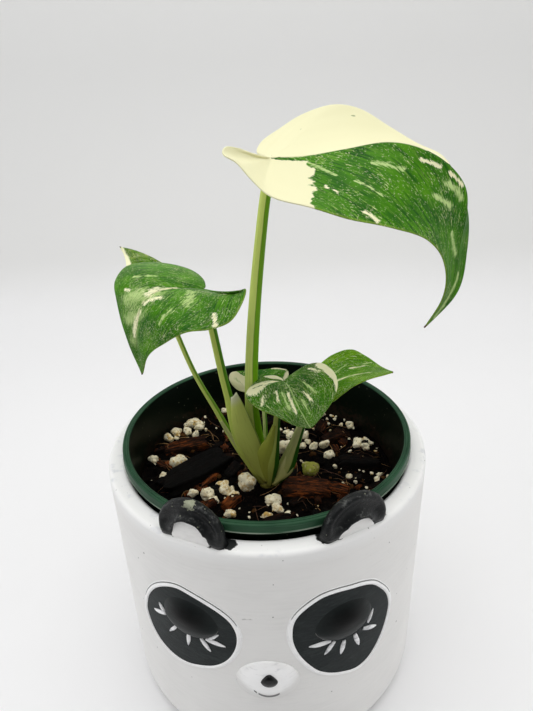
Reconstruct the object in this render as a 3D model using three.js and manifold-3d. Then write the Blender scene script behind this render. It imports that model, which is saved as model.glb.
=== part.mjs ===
// Variegated monstera in a green nursery pot that stands in a cast, animal-faced cover pot.
// Units are millimetres and +Z is up. The face looks along -Y.
// The origin is the centre of the cover pot's flat base.

import * as THREE from 'three';
import { mergeVertices } from 'three/addons/utils/BufferGeometryUtils.js';
import Module from 'manifold-3d';

const wasm = await Module();
wasm.setup();

// Driving dimensions of the cover pot
const PLANTER_RADIUS = 62;
const PLANTER_HEIGHT = 105;
const PLANTER_INNER_RADIUS = 55;
const PLANTER_FLOOR = 10;
const BASE_FILLET = 8.5;
const FLOOR_FILLET = 4;
const RIM_ROUNDING = 1.8;
const PLANTER_SEGMENTS = 60;

// The face, laid out on the unrolled wall: arc length from the middle, and height
const PATCH_ARC = 29;
const PATCH_HEIGHT = 63.3;
const PATCH_LONG_RADIUS = 22;
const PATCH_SHORT_RADIUS = 18.4;
const PATCH_TILT = THREE.MathUtils.degToRad(-47);
const PATCH_BORDER_RADIUS = 0.8;
const PATCH_BORDER_STEPS = 36;
const LID_OFFSET = [-0.8, 6];
const LID_RADII = [11.5, 3.2, 9];
const LASH_RADIUS = 0.75;
const LASH_ROOT_LIFT = 0.2;
const LASH_TIP_LIFT = 0.1;
const MUZZLE = { arc: -0.3, height: 46, radii: [10.8, 3.4, 10.6] };
const NOSE = { arc: 0.2, height: 50.3, lift: 2.7, radii: [3, 1.5, 3] };

// Each lash as root and tip, measured outward and up from the middle of its eye patch
const LEFT_LASHES = [
  [[9.7, 3.1], [15.6, 1]],
  [[10, 3.4], [11.6, 6.8]],
  [[5.4, -1.6], [7.4, -4.4]],
  [[-0.7, -2.6], [-0.2, -8]],
  [[-5.8, -1.6], [-9.6, -7]],
  [[-9, 0.8], [-14.4, -3]],
  [[-9, 1.2], [-13.2, 3.4]],
];
const RIGHT_LASHES = [
  [[8, -1.2], [10.3, 3.3]],
  [[6.8, -2.2], [12.6, -4.4]],
  [[2.4, -3], [4.8, -8.6]],
  [[-2.2, -3], [-3.4, -9.2]],
  [[-6.2, -1.8], [-9.6, -6.4]],
  [[-8.8, 0], [-14.6, -1.8]],
  [[-9, 0.4], [-11.4, 3.6]],
];

// The ears stand on the rim
const EAR_AZIMUTHS = { left: -22.3, right: 28.8 };
const EAR_CENTRE_RADIUS = 59;
const EAR_ARCH_RADIUS = 8.4;
const EAR_LEG = 3.4;
const EAR_FOOT = -1.2;
const EAR_ROLL = 3.6;
const EAR_DEPTH = 5.4;
const EAR_ARCH_POINTS = 9;
const EAR_DISC_RADIUS = 7.4;
const EAR_DISC_DEPTH = 3.2;
const EAR_DISC_HEIGHT = 1.4;

// Nursery pot
const NURSERY_RIM_RADIUS = 55.9;
const NURSERY_TOP = 111;
const NURSERY_BASE = 10.3;
const NURSERY_WALL = 1;
const NURSERY_FLOOR = 1.2;
const NURSERY_INNER_TOP = 53.5;
const NURSERY_INNER_BASE = 45;
const FLANGE_THICKNESS = 1.3;
const LIP_DROP = 3.4;
const LIP_THICKNESS = 0.8;
const LIP_CHAMFER = 0.45;
const DRAIN_HOLE_RADIUS = 4;
const DRAIN_RING_RADIUS = 30;
const DRAIN_HOLES = 5;
const DRAIN_CUT_DEPTH = 6;

// Potting mix
const SOIL_LEVEL = 90.5;
const SOIL_SLOPE = [-0.03, -0.05];
const SOIL_SWELL = 0.7;
const SOIL_RIPPLE = 0.35;
const SOIL_EDGE_DROP = 4;
const SOIL_RING_RADII = [44, 35, 26, 17, 8];
const SOIL_SEGMENTS = 36;
const CLEARANCE = 0.3;
const PERLITE_SINK = 0.3;
const CUT_CLEARANCE = 0.4;
const GRAIN_SEED = 7;

// Perlite grains as place on the soil and width
const PERLITE = [
  [-45.5, 12, 4], [-43, 21, 4.5], [-37.5, 24, 4.5], [-34, 31, 4.5], [-30, 27, 4], [-46, -3, 3.5],
  [-25.5, 2.5, 4.5], [-31, -12, 5], [-17.5, -14.5, 4.5], [-19, -20, 5], [-15, -24, 4.5],
  [-8, -15.5, 7], [-2.5, -25, 4.5], [2, -28, 4], [6.5, -21, 4.5], [10, 13.5, 7], [14.5, 20, 5.5],
  [19.5, 15, 5], [23, 7, 6], [21.5, 11.5, 4.5], [31, 34, 3.5], [37.5, 28, 4], [42, 14, 4],
  [45, 7, 3.5], [35, 1, 3.5], [36, -10, 4], [46, -8, 4], [30, -6, 3.5], [-12, 9.5, 3.5],
  [-22, 40, 4.5], [14, -36, 3.5], [-24, -34, 4], [-38, -20, 3.5],
];

// Bark chips as place, length, width and turn
const BARK = [
  [-29, -4, 23, 11, 0.5], [-38, 15, 8, 5, 1.2], [15, -17, 13, 8, 0.3], [37, 3, 11, 6, 0.1],
  [-14, -4, 9, 5, 1.1], [26, -14, 9, 5, -0.4], [30, 22, 10, 5, 0.6], [-28, 17, 8, 5, 0.9],
  [4, -34, 10, 5, 0.2], [0, 32, 12, 6, 0.4],
];
const BARK_THICKNESS = 3.4;
const BARK_LIFT = 0.5;

// Crown and leaf stalks: points along the middle, then widths along the length
const CROWN = { centre: [0.3, -12], bottom: 80, soilLevel: 91, top: 93.6 };
const STALKS = {
  petiole_right: {
    path: [[2.6, -12.8, 92.4], [7, -12.4, 98.8], [11, -10.5, 109], [15, -7, 118.5], [20.3, -1.3, 127.6]],
    widths: [[0, 2.2], [0.2, 3.8], [0.45, 2.2], [0.7, 1.3], [1, 1.1]],
    depths: [[0, 1.8], [0.3, 1.7], [0.6, 1.2], [1, 1]],
  },
  petiole_front: {
    path: [[0.8, -13.4, 92.4], [2.3, -14.5, 103], [4, -13.7, 115], [5.2, -12.4, 126], [7.5, -9.8, 134.8]],
    widths: [[0, 1.8], [0.25, 2.7], [0.5, 1.5], [0.75, 1.1], [1, 1]],
    depths: [[0, 1.4], [0.4, 1.3], [1, 1]],
  },
  petiole_tall: {
    path: [
      [-0.3, -11.4, 92.4], [-3.3, -10.2, 108], [-4.5, -9.5, 124], [-4, -9, 140], [-2, -8.5, 163],
      [1, -8, 187], [3.3, -8, 202], [5.3, -8, 211.4],
    ],
    widths: [[0, 2], [0.15, 3.3], [0.27, 2.5], [0.55, 2.2], [0.85, 1.8], [1, 1.7]],
    depths: [[0, 1.9], [0.2, 2], [0.6, 1.8], [1, 1.5]],
  },
  petiole_left: {
    path: [
      [-1.4, -12.2, 92.4], [-6, -12.5, 106], [-10, -12.3, 119], [-13.5, -10.7, 135], [-16.8, -9, 157],
      [-18.8, -7.3, 169.8],
    ],
    widths: [[0, 2], [0.2, 4], [0.36, 3], [0.5, 1.6], [1, 1.4]],
    depths: [[0, 1.6], [0.35, 1.4], [1, 1.25]],
  },
  petiole_young: {
    path: [[0.5, -10.4, 92.8], [0, -6.8, 105.5], [-0.3, -2, 116.5], [-1, 3.6, 122.7]],
    widths: [[0, 1.2], [0.5, 0.9], [1, 0.8]],
    depths: [[0, 1.2], [0.5, 0.9], [1, 0.8]],
  },
  petiole_left_back: {
    path: [[-1.8, -10.8, 92.4], [-10.5, -7.7, 105], [-18, -4.7, 120], [-26, -1.8, 136], [-33.2, 2, 155.8]],
    widths: [[0, 1.6], [0.3, 1.4], [0.6, 1], [1, 0.95]],
    depths: [[0, 1.4], [0.4, 1.1], [1, 0.9]],
  },
};
const STALK_SIDES = 10;
const STALK_STEP = 7;

// Leaf blades: the midrib from the stalk to the tip, then each half's edge from notch to tip
const BLADE_THICKNESS = 0.8;
const BLADES = {
  leaf_tall: {
    midrib: [
      [5.5, -8, 212.5], [15.5, -6.5, 212.5], [28, -5, 214], [41, -4, 215.5], [51, -4, 213.5],
      [60.5, -4.5, 208], [65.5, -6, 201.5], [66, -8, 194.5], [64, -11, 185], [63, -13.5, 174.5],
      [59.5, -14.5, 166], [54.5, -15.5, 158.5],
    ],
    edges: [
      [
        [4.5, -5, 212.5], [1, -3, 213.5], [2, 4, 216], [7.5, 12.5, 219], [16, 19.5, 223], [27, 25, 225.5],
        [37, 27.5, 223.5], [47, 26, 217.5], [56.5, 21.5, 212], [63.5, 15, 208.5], [67, 6, 201.5],
        [68.3, -3, 193], [67.6, -9, 182], [65, -12.5, 169.5], [54.5, -15.5, 158.5],
      ],
      [
        [4.5, -10, 213], [0, -14, 214.5], [-4, -19, 217], [-7, -24, 218], [-7.5, -27, 216.5],
        [-4, -28.5, 214.5], [0, -31, 210.5], [5.5, -34, 206], [15, -35.5, 203.5], [26, -34, 199.5],
        [40, -28.5, 195], [51.5, -22, 189.5], [57.5, -18.5, 182.5], [59.5, -17.5, 175.5], [59, -16.5, 168],
        [54.5, -15.5, 158.5],
      ],
    ],
    fan: 0.3,
    bulge: 2,
    rows: 28,
    columns: 5,
  },
  leaf_left: {
    midrib: [
      [-19, -7, 171], [-26.5, -11, 173], [-33, -15.5, 173.5], [-37, -19.5, 171], [-39, -22.5, 165.5],
      [-39.5, -25, 157], [-39, -25.5, 148.5],
    ],
    edges: [
      [
        [-18.5, -5, 171], [-19.5, 0, 171.5], [-22.5, 5, 172.5], [-27, 9, 173.5], [-36.5, 11.5, 175],
        [-43.5, 9, 176], [-47.5, 2, 176.5], [-49, -7, 174], [-47, -14, 170.5], [-45, -19, 165.5],
        [-42.5, -23, 159], [-39, -25.5, 148.5],
      ],
      [
        [-17.5, -9, 171.5], [-14.5, -9.5, 171.5], [-10.5, -11.5, 171], [-6.5, -15.5, 173.5], [-4, -19, 175],
        [-4.5, -25, 172.5], [-8.5, -29.5, 168], [-15, -31.5, 166.5], [-21.5, -33, 166.5],
        [-28.5, -31.5, 162.5], [-35, -28.5, 157], [-39, -25.5, 148.5],
      ],
    ],
    fan: 0.3,
    bulge: 1.6,
    rows: 20,
    columns: 4,
  },
  leaf_left_back: {
    midrib: [
      [-34, 2.5, 158.5], [-38, 9.5, 162.5], [-43, 17, 167.5], [-49.5, 25, 172.5], [-56.5, 30.5, 176.5],
    ],
    edges: [
      [
        [-34, 4.5, 157.5], [-31.5, 5.5, 156.5], [-29.5, 8.5, 159], [-30, 14.5, 164], [-34.5, 21.5, 168.5],
        [-42, 27, 172], [-49.5, 30, 174.5], [-56.5, 30.5, 176.5],
      ],
      [
        [-34, 1.5, 157.5], [-32.5, -2.5, 153.5], [-35, -5.5, 150.5], [-39, -6.5, 153], [-44, -2, 159],
        [-48.5, 6, 165.5], [-51.5, 18, 171], [-54, 26.5, 173.5], [-56.5, 30.5, 176.5],
      ],
    ],
    fan: 0.3,
    bulge: 0.8,
    rows: 16,
    columns: 4,
  },
  leaf_front: {
    midrib: [[7.5, -9.5, 136], [9.5, -14.5, 136], [11.5, -20.5, 134], [14, -24.5, 130.5], [16.5, -25.5, 126]],
    edges: [
      [
        [7.5, -8.5, 136], [4, -8, 137.5], [-0.5, -9, 137.5], [-4.5, -12, 135.5], [-6, -17.5, 134.5],
        [-2, -22, 132.5], [4.5, -26, 131.5], [12, -26.5, 127.5], [16.5, -25.5, 126],
      ],
      [
        [8.5, -8.5, 136], [12, -5.5, 137], [17, -2.5, 139], [22, -2, 139], [26, -6, 137.5],
        [27, -11, 135], [24.5, -17, 131.5], [20, -22, 128], [16.5, -25.5, 126],
      ],
    ],
    fan: 0.4,
    bulge: 0.8,
    rows: 18,
    columns: 4,
  },
  leaf_young: {
    midrib: [[-1, 4, 124], [0.5, 5, 127.5], [3.5, 7, 129], [6.5, 9.5, 129.5], [9, 11.5, 129]],
    edges: [
      [
        [-1.5, 4, 124.5], [-5, 2, 125], [-10.5, 0.5, 127], [-13.5, 1.5, 131], [-13, 5.5, 132],
        [-8, 8.5, 131], [-1, 11, 130], [5, 12, 130], [9, 11.5, 129],
      ],
      [[-0.5, 3, 124.5], [2, 2, 124.5], [5.5, 3, 125], [8.5, 6.5, 126.5], [9.5, 9.5, 128], [9, 11.5, 129]],
    ],
    fan: 0.4,
    bulge: 0.4,
    rows: 14,
    columns: 3,
  },
  leaf_right: {
    midrib: [[20.5, -1, 129], [27.5, -1, 130.5], [34, -1.5, 132.5], [41, -2, 134], [48, -4, 135.5]],
    edges: [
      [
        [20, 1, 128.5], [19, 4, 130.5], [22, 10, 132.5], [28, 14, 135], [35, 15.5, 136],
        [40.5, 13, 134], [45, 5, 133.5], [48, -4, 135.5],
      ],
      [
        [21, -2, 128.5], [22, -4, 126], [25, -7, 125], [29, -7.5, 128.5], [33, -7.5, 132],
        [39, -6.5, 134.5], [48, -4, 135.5],
      ],
    ],
    fan: 0.3,
    bulge: 0.8,
    rows: 16,
    columns: 4,
  },
};

// Finishes
const WHITE_PAINT = new THREE.MeshStandardMaterial({ color: 0xe9e8e6, roughness: 0.6, metalness: 0 });
const GREEN_PLASTIC = new THREE.MeshStandardMaterial({ color: 0x24482f, roughness: 0.45, metalness: 0 });
const DARK_SOIL = new THREE.MeshStandardMaterial({ color: 0x241a14, roughness: 0.95, metalness: 0 });
const PALE_STEM = new THREE.MeshStandardMaterial({ color: 0xb9c48a, roughness: 0.5, metalness: 0 });
const STALK_GREEN = new THREE.MeshStandardMaterial({ color: 0x8fa84a, roughness: 0.45, metalness: 0 });
const LEAF_GREEN = new THREE.MeshStandardMaterial({
  color: 0x3f7a2c,
  roughness: 0.4,
  metalness: 0,
  side: THREE.DoubleSide,
});

/** A seeded draw between 0 and 1, the same on every run. */
function seededRandom(seed) {
  let state = seed;
  return () => {
    state = (state * 1664525 + 1013904223) % 4294967296;
    return state / 4294967296;
  };
}

/** A value read from a short list of [place, value] stops, straight between them. */
function readStops(stops, place) {
  const next = Math.max(1, stops.findIndex(([at]) => at >= place));
  const [startPlace, startValue] = stops[next - 1];
  const [endPlace, endValue] = stops[next];
  const share = (place - startPlace) / (endPlace - startPlace);
  return startValue + (endValue - startValue) * share;
}

/** The solid that a closed geometry bounds. */
function toSolid(geometry) {
  const bare = geometry.clone();
  bare.deleteAttribute('normal');
  bare.deleteAttribute('uv');
  const merged = mergeVertices(bare, 1e-4);
  const triangles = [];
  for (let i = 0; i < merged.index.count; i += 3) {
    const [a, b, c] = [0, 1, 2].map((k) => merged.index.getX(i + k));
    if (a !== b && b !== c && c !== a) triangles.push(a, b, c);
  }
  const vertProperties = Float32Array.from(merged.attributes.position.array);
  const triVerts = Uint32Array.from(triangles);
  return new wasm.Manifold(new wasm.Mesh({ numProp: 3, vertProperties, triVerts }));
}

/** The largest body of a solid, as a geometry. */
function toGeometry(solid) {
  const bodies = solid.decompose().sort((a, b) => b.volume() - a.volume());
  const mesh = bodies[0].getMesh();
  const geometry = new THREE.BufferGeometry();
  geometry.setAttribute('position', new THREE.BufferAttribute(mesh.vertProperties, 3));
  geometry.setIndex(new THREE.BufferAttribute(mesh.triVerts, 1));
  geometry.computeVertexNormals();
  return geometry;
}

/** Solids joined into one. */
function join(solids) {
  return solids.reduce((whole, next) => whole.add(next));
}

/** A closed shape turned round the Z axis from [radius, height] points. */
function turned(profile, segments) {
  const points = profile.map(([radius, height]) => new THREE.Vector2(radius, height));
  return new THREE.LatheGeometry(points, segments).rotateX(Math.PI / 2);
}

/** Points of a rounded corner in a turned profile. */
function corner(centreRadius, centreHeight, radius, startDegrees, endDegrees, steps) {
  return Array.from({ length: steps + 1 }, (_, i) => {
    const angle = THREE.MathUtils.degToRad(startDegrees + ((endDegrees - startDegrees) * i) / steps);
    return [centreRadius + radius * Math.cos(angle), centreHeight + radius * Math.sin(angle)];
  });
}

/** The place on the cover pot's wall at an arc length, a height and a lift off the surface. */
function onWall(arc, height, lift = 0) {
  const angle = arc / PLANTER_RADIUS;
  const radius = PLANTER_RADIUS + lift;
  return new THREE.Vector3(radius * Math.sin(angle), -radius * Math.cos(angle), height);
}

/** The place on one eye patch, measured outward and up from its middle. */
function onPatch(side, outward, up, lift = 0) {
  return onWall(side * (PATCH_ARC + outward), PATCH_HEIGHT + up, lift);
}

/** An ellipsoid that stands on the wall: radii along the wall, out of it and up. */
function wallDome(arc, height, lift, radii, columns = 16, rows = 8) {
  const geometry = new THREE.SphereGeometry(1, columns, rows).rotateX(Math.PI / 2);
  geometry.scale(...radii);
  geometry.rotateZ(arc / PLANTER_RADIUS);
  const place = onWall(arc, height, lift);
  return toSolid(geometry.translate(place.x, place.y, place.z));
}

/** The raised border round one eye patch. */
function patchBorder(side) {
  const points = Array.from({ length: PATCH_BORDER_STEPS }, (_, i) => {
    const angle = (i / PATCH_BORDER_STEPS) * 2 * Math.PI;
    const long = PATCH_LONG_RADIUS * Math.cos(angle);
    const short = PATCH_SHORT_RADIUS * Math.sin(angle);
    const outward = long * Math.cos(PATCH_TILT) - short * Math.sin(PATCH_TILT);
    const up = long * Math.sin(PATCH_TILT) + short * Math.cos(PATCH_TILT);
    return onPatch(side, outward, up);
  });
  const curve = new THREE.CatmullRomCurve3(points, true);
  return toSolid(new THREE.TubeGeometry(curve, PATCH_BORDER_STEPS, PATCH_BORDER_RADIUS, 5, true));
}

/** One lash: a slim cone half sunk in the wall. */
function lash(side, [root, tip]) {
  const start = onPatch(side, ...root, LASH_ROOT_LIFT);
  const end = onPatch(side, ...tip, LASH_TIP_LIFT);
  const along = end.clone().sub(start);
  const geometry = new THREE.CylinderGeometry(LASH_RADIUS * 0.5, LASH_RADIUS, along.length(), 4);
  const upright = new THREE.Vector3(0, 1, 0);
  geometry.applyQuaternion(new THREE.Quaternion().setFromUnitVectors(upright, along.normalize()));
  const middle = start.add(end).multiplyScalar(0.5);
  return toSolid(geometry.translate(middle.x, middle.y, middle.z));
}

/** One ear: an arched roll on the rim, closed inside by a disc. */
function ear(azimuth) {
  const archPoints = Array.from({ length: EAR_ARCH_POINTS }, (_, i) => {
    const angle = Math.PI * (1 - i / (EAR_ARCH_POINTS - 1));
    const height = EAR_LEG + EAR_ARCH_RADIUS * Math.sin(angle);
    return new THREE.Vector3(EAR_ARCH_RADIUS * Math.cos(angle), 0, height);
  });
  const foot = (side) => new THREE.Vector3(side * EAR_ARCH_RADIUS, 0, EAR_FOOT);
  const path = new THREE.CatmullRomCurve3([foot(-1), ...archPoints, foot(1)]);
  const section = new THREE.Shape();
  section.absellipse(0, 0, EAR_DEPTH / 2, EAR_ROLL, 0, 2 * Math.PI);
  const extrusion = { steps: 14, extrudePath: path, curveSegments: 5, bevelEnabled: false };
  const roll = new THREE.ExtrudeGeometry(section, extrusion);
  const disc = new THREE.CylinderGeometry(EAR_DISC_RADIUS, EAR_DISC_RADIUS, EAR_DISC_DEPTH, 16);
  disc.translate(0, 0, EAR_DISC_HEIGHT);
  const turn = THREE.MathUtils.degToRad(azimuth);
  const x = EAR_CENTRE_RADIUS * Math.sin(turn);
  const y = -EAR_CENTRE_RADIUS * Math.cos(turn);
  return join([roll, disc].map((g) => toSolid(g.rotateZ(turn).translate(x, y, PLANTER_HEIGHT))));
}

/** The cover pot with its face and ears in one casting. */
function planter() {
  const wallTop = PLANTER_HEIGHT - RIM_ROUNDING;
  const body = toSolid(
    turned(
      [
        [0, 0],
        ...corner(PLANTER_RADIUS - BASE_FILLET, BASE_FILLET, BASE_FILLET, -90, 0, 4),
        ...corner(PLANTER_RADIUS - RIM_ROUNDING, wallTop, RIM_ROUNDING, 0, 90, 2),
        ...corner(PLANTER_INNER_RADIUS + RIM_ROUNDING, wallTop, RIM_ROUNDING, 90, 180, 2),
        ...corner(PLANTER_INNER_RADIUS - FLOOR_FILLET, PLANTER_FLOOR + FLOOR_FILLET, FLOOR_FILLET, 0, -90, 2),
        [0, PLANTER_FLOOR],
      ],
      PLANTER_SEGMENTS,
    ),
  );
  const ears = Object.values(EAR_AZIMUTHS).map(ear);
  const eyes = [[-1, LEFT_LASHES], [1, RIGHT_LASHES]].flatMap(([side, lashes]) => [
    patchBorder(side),
    wallDome(side * (PATCH_ARC + LID_OFFSET[0]), PATCH_HEIGHT + LID_OFFSET[1], 0, LID_RADII),
    ...lashes.map((ends) => lash(side, ends)),
  ]);
  const muzzle = wallDome(MUZZLE.arc, MUZZLE.height, 0, MUZZLE.radii);
  const nose = wallDome(NOSE.arc, NOSE.height, NOSE.lift, NOSE.radii, 10, 6);
  return toGeometry(join([body, ...ears, ...eyes, muzzle, nose]));
}

/** The nursery pot's inside radius at a height. */
function nurseryInside(height) {
  const share = (height - NURSERY_BASE) / (NURSERY_TOP - NURSERY_BASE);
  return NURSERY_INNER_BASE + (NURSERY_INNER_TOP - NURSERY_INNER_BASE) * share;
}

/** The thin green pot with its flange, lip and drain holes. */
function nurseryPot() {
  const floor = NURSERY_BASE + NURSERY_FLOOR;
  const underFlange = NURSERY_TOP - FLANGE_THICKNESS;
  const lipBottom = NURSERY_TOP - LIP_DROP;
  const wallOutside = (height) => nurseryInside(height) + NURSERY_WALL;
  const shell = toSolid(
    turned(
      [
        [0, NURSERY_BASE],
        [wallOutside(NURSERY_BASE), NURSERY_BASE],
        [wallOutside(underFlange), underFlange],
        [NURSERY_RIM_RADIUS - LIP_THICKNESS, underFlange],
        [NURSERY_RIM_RADIUS - LIP_THICKNESS, lipBottom],
        [NURSERY_RIM_RADIUS, lipBottom],
        [NURSERY_RIM_RADIUS, NURSERY_TOP - LIP_CHAMFER],
        [NURSERY_RIM_RADIUS - LIP_CHAMFER, NURSERY_TOP],
        [nurseryInside(NURSERY_TOP), NURSERY_TOP],
        [nurseryInside(floor), floor],
        [0, floor],
      ],
      PLANTER_SEGMENTS,
    ),
  );
  const holes = Array.from({ length: DRAIN_HOLES }, (_, i) => {
    const angle = (i / DRAIN_HOLES) * 2 * Math.PI;
    const [x, y] = [DRAIN_RING_RADIUS * Math.cos(angle), DRAIN_RING_RADIUS * Math.sin(angle)];
    const cutter = new THREE.CylinderGeometry(DRAIN_HOLE_RADIUS, DRAIN_HOLE_RADIUS, DRAIN_CUT_DEPTH, 12);
    return toSolid(cutter.rotateX(Math.PI / 2).translate(x, y, NURSERY_BASE));
  });
  return toGeometry(shell.subtract(join(holes)));
}

/** The soil's height at a place, without its grains. */
function soilHeight(x, y) {
  const swell = SOIL_SWELL * Math.sin(x * 0.21 + 1) * Math.cos(y * 0.17);
  const ripple = SOIL_RIPPLE * Math.sin(x * 0.5 + y * 0.43);
  return SOIL_LEVEL + SOIL_SLOPE[0] * x + SOIL_SLOPE[1] * y + swell + ripple;
}

/** The potting mix with perlite grains and bark chips on its top, and a plain hole for the stems. */
function pottingMix(stems) {
  const bottom = NURSERY_BASE + NURSERY_FLOOR + CLEARANCE;
  const edgeRadius = nurseryInside(SOIL_LEVEL - SOIL_EDGE_DROP) - CLEARANCE;
  const side = [[0, bottom], [nurseryInside(bottom) - CLEARANCE, bottom], [edgeRadius, SOIL_LEVEL]];
  const top = [...SOIL_RING_RADII.map((radius) => [radius, SOIL_LEVEL]), [0, SOIL_LEVEL]];
  const geometry = turned([...side, ...top], SOIL_SEGMENTS);
  const position = geometry.attributes.position;
  for (let i = 0; i < position.count; i += 1) {
    if (position.getZ(i) > bottom + 1) position.setZ(i, soilHeight(position.getX(i), position.getY(i)));
  }
  const random = seededRandom(GRAIN_SEED);
  const grains = PERLITE.map(([x, y, width]) => {
    const grain = new THREE.IcosahedronGeometry(width / 2, 0);
    grain.scale(1, 0.75 + 0.3 * random(), 0.75 + 0.2 * random());
    grain.rotateZ(random() * Math.PI);
    return toSolid(grain.translate(x, y, soilHeight(x, y) + width * (0.5 - PERLITE_SINK)));
  });
  const chips = BARK.map(([x, y, length, width, turn]) => {
    const chip = new THREE.BoxGeometry(length, width, BARK_THICKNESS);
    chip.rotateX(0.25 * (random() - 0.5));
    chip.rotateY(0.2 * (random() - 0.5));
    chip.rotateZ(turn);
    return toSolid(chip.translate(x, y, soilHeight(x, y) + BARK_LIFT));
  });
  return toGeometry(join([toSolid(geometry), ...grains, ...chips]).subtract(stems));
}

/** The plant's short stem: slim in the soil and wider where the leaf stalks clasp it. */
function crownSolid(extra = 0) {
  const [x, y] = CROWN.centre;
  const profile = [
    [0, CROWN.bottom - extra],
    [2 + extra, CROWN.bottom - extra],
    [3.4 + extra, CROWN.soilLevel],
    [4.4 + extra, CROWN.top - 0.8],
    [3.6 + extra, CROWN.top + extra],
    [0, CROWN.top + extra],
  ];
  return toSolid(turned(profile, 16).scale(1, 0.72, 1).translate(x, y, 0));
}

/** A leaf stalk: a tapered rod turned straight and then laid along its curve. */
function stalkSolid({ path, widths, depths }, extra = 0) {
  const curve = new THREE.CatmullRomCurve3(path.map((p) => new THREE.Vector3(...p)));
  const steps = Math.max(8, Math.round(curve.getLength() / STALK_STEP));
  const profile = [[0, 0], ...Array.from({ length: steps + 1 }, (_, i) => [1, i / steps]), [0, 1]];
  const rod = turned(profile, STALK_SIDES);
  const position = rod.attributes.position;
  const depthAxis = new THREE.Vector3(0, 1, 0);
  for (let i = 0; i < position.count; i += 1) {
    const share = Math.min(1, Math.max(0, position.getZ(i)));
    const tangent = curve.getTangentAt(share);
    const side = depthAxis.clone().cross(tangent).normalize();
    const depth = tangent.clone().cross(side);
    const point = curve.getPointAt(share);
    point.addScaledVector(side, position.getX(i) * (readStops(widths, share) + extra));
    point.addScaledVector(depth, position.getY(i) * (readStops(depths, share) + extra));
    if (share === 0) point.addScaledVector(tangent, -extra);
    if (share === 1) point.addScaledVector(tangent, extra);
    position.setXYZ(i, point.x, point.y, point.z);
  }
  return toSolid(rod);
}

/** The middle surface of a blade: each half is spanned by veins from the midrib to the edge. */
function bladeSurface({ midrib, edges, fan, bulge, rows, columns }) {
  const spine = new THREE.CatmullRomCurve3(midrib.map((p) => new THREE.Vector3(...p)));
  const points = [];
  const faces = [];
  const places = new Map();
  const addPoint = (point) => {
    const key = point.toArray().map((value) => value.toFixed(3)).join();
    if (!places.has(key)) {
      places.set(key, points.length);
      points.push(point);
    }
    return places.get(key);
  };
  edges.forEach((edgePoints, half) => {
    const edge = new THREE.CatmullRomCurve3(edgePoints.map((p) => new THREE.Vector3(...p)));
    const turnSign = half === 0 ? 1 : -1;
    const grid = [];
    for (let i = 0; i <= rows; i += 1) {
      const share = i / rows;
      const root = spine.getPointAt(Math.max(0, (share - fan) / (1 - fan)));
      const end = edge.getPointAt(share);
      const vein = end.clone().sub(root);
      const normal = edge.getTangentAt(share).cross(vein).normalize().multiplyScalar(-turnSign);
      grid.push(
        Array.from({ length: columns + 1 }, (_, j) => {
          const t = j / columns;
          const swell = bulge * 4 * t * (1 - t) * Math.min(1, vein.length() / 20) * Math.sin(Math.PI * share);
          return addPoint(root.clone().addScaledVector(vein, t).addScaledVector(normal, swell));
        }),
      );
    }
    const addFace = (a, b, c) => {
      if (a === b || b === c || c === a) return;
      faces.push(half === 0 ? [a, b, c] : [a, c, b]);
    };
    for (let i = 0; i < rows; i += 1) {
      for (let j = 0; j < columns; j += 1) {
        addFace(grid[i][j], grid[i][j + 1], grid[i + 1][j + 1]);
        addFace(grid[i][j], grid[i + 1][j + 1], grid[i + 1][j]);
      }
    }
  });
  return { points, faces };
}

/** A blade's solid: its middle surface with the same triangles on both faces and a narrow rim. */
function bladeSolid(blade, extra = 0) {
  const { points, faces } = bladeSurface(blade);
  const normals = points.map(() => new THREE.Vector3());
  faces.forEach(([a, b, c]) => {
    const normal = points[b].clone().sub(points[a]).cross(points[c].clone().sub(points[a]));
    [a, b, c].forEach((i) => normals[i].add(normal));
  });
  const count = points.length;
  const used = new Set(faces.flatMap(([a, b, c]) => [`${a},${b}`, `${b},${c}`, `${c},${a}`]));
  const outward = points.map(() => new THREE.Vector3());
  const triangles = [];
  faces.forEach(([a, b, c]) => {
    triangles.push(a, b, c, a + count, c + count, b + count);
    [[a, b], [b, c], [c, a]].forEach(([from, to]) => {
      if (used.has(`${to},${from}`)) return;
      triangles.push(to, from, from + count, to, from + count, to + count);
      const away = points[to].clone().sub(points[from]).normalize().cross(normals[from].clone().normalize());
      outward[from].add(away);
      outward[to].add(away);
    });
  });
  const half = BLADE_THICKNESS / 2 + extra;
  const shifted = (sign) =>
    points.map((point, i) => {
      const moved = point.clone().addScaledVector(normals[i].clone().normalize(), sign * half);
      return moved.addScaledVector(outward[i].clone().normalize(), extra);
    });
  const positions = [...shifted(1), ...shifted(-1)].flatMap((p) => p.toArray());
  const geometry = new THREE.BufferGeometry();
  geometry.setAttribute('position', new THREE.Float32BufferAttribute(positions, 3));
  geometry.setIndex(triangles);
  const solid = toSolid(geometry);
  if (solid.volume() > 0) return solid;
  geometry.setIndex(triangles.map((_, i) => triangles[i - (i % 3) + [0, 2, 1][i % 3]]));
  return toSolid(geometry);
}

/** A named mesh of the assembly. */
function part(name, geometry, material) {
  const mesh = new THREE.Mesh(geometry, material);
  mesh.name = name;
  return mesh;
}

const assembly = new THREE.Group();
assembly.add(part('planter', planter(), WHITE_PAINT));
assembly.add(part('nursery_pot', nurseryPot(), GREEN_PLASTIC));
assembly.add(part('crown', toGeometry(crownSolid()), PALE_STEM));

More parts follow.
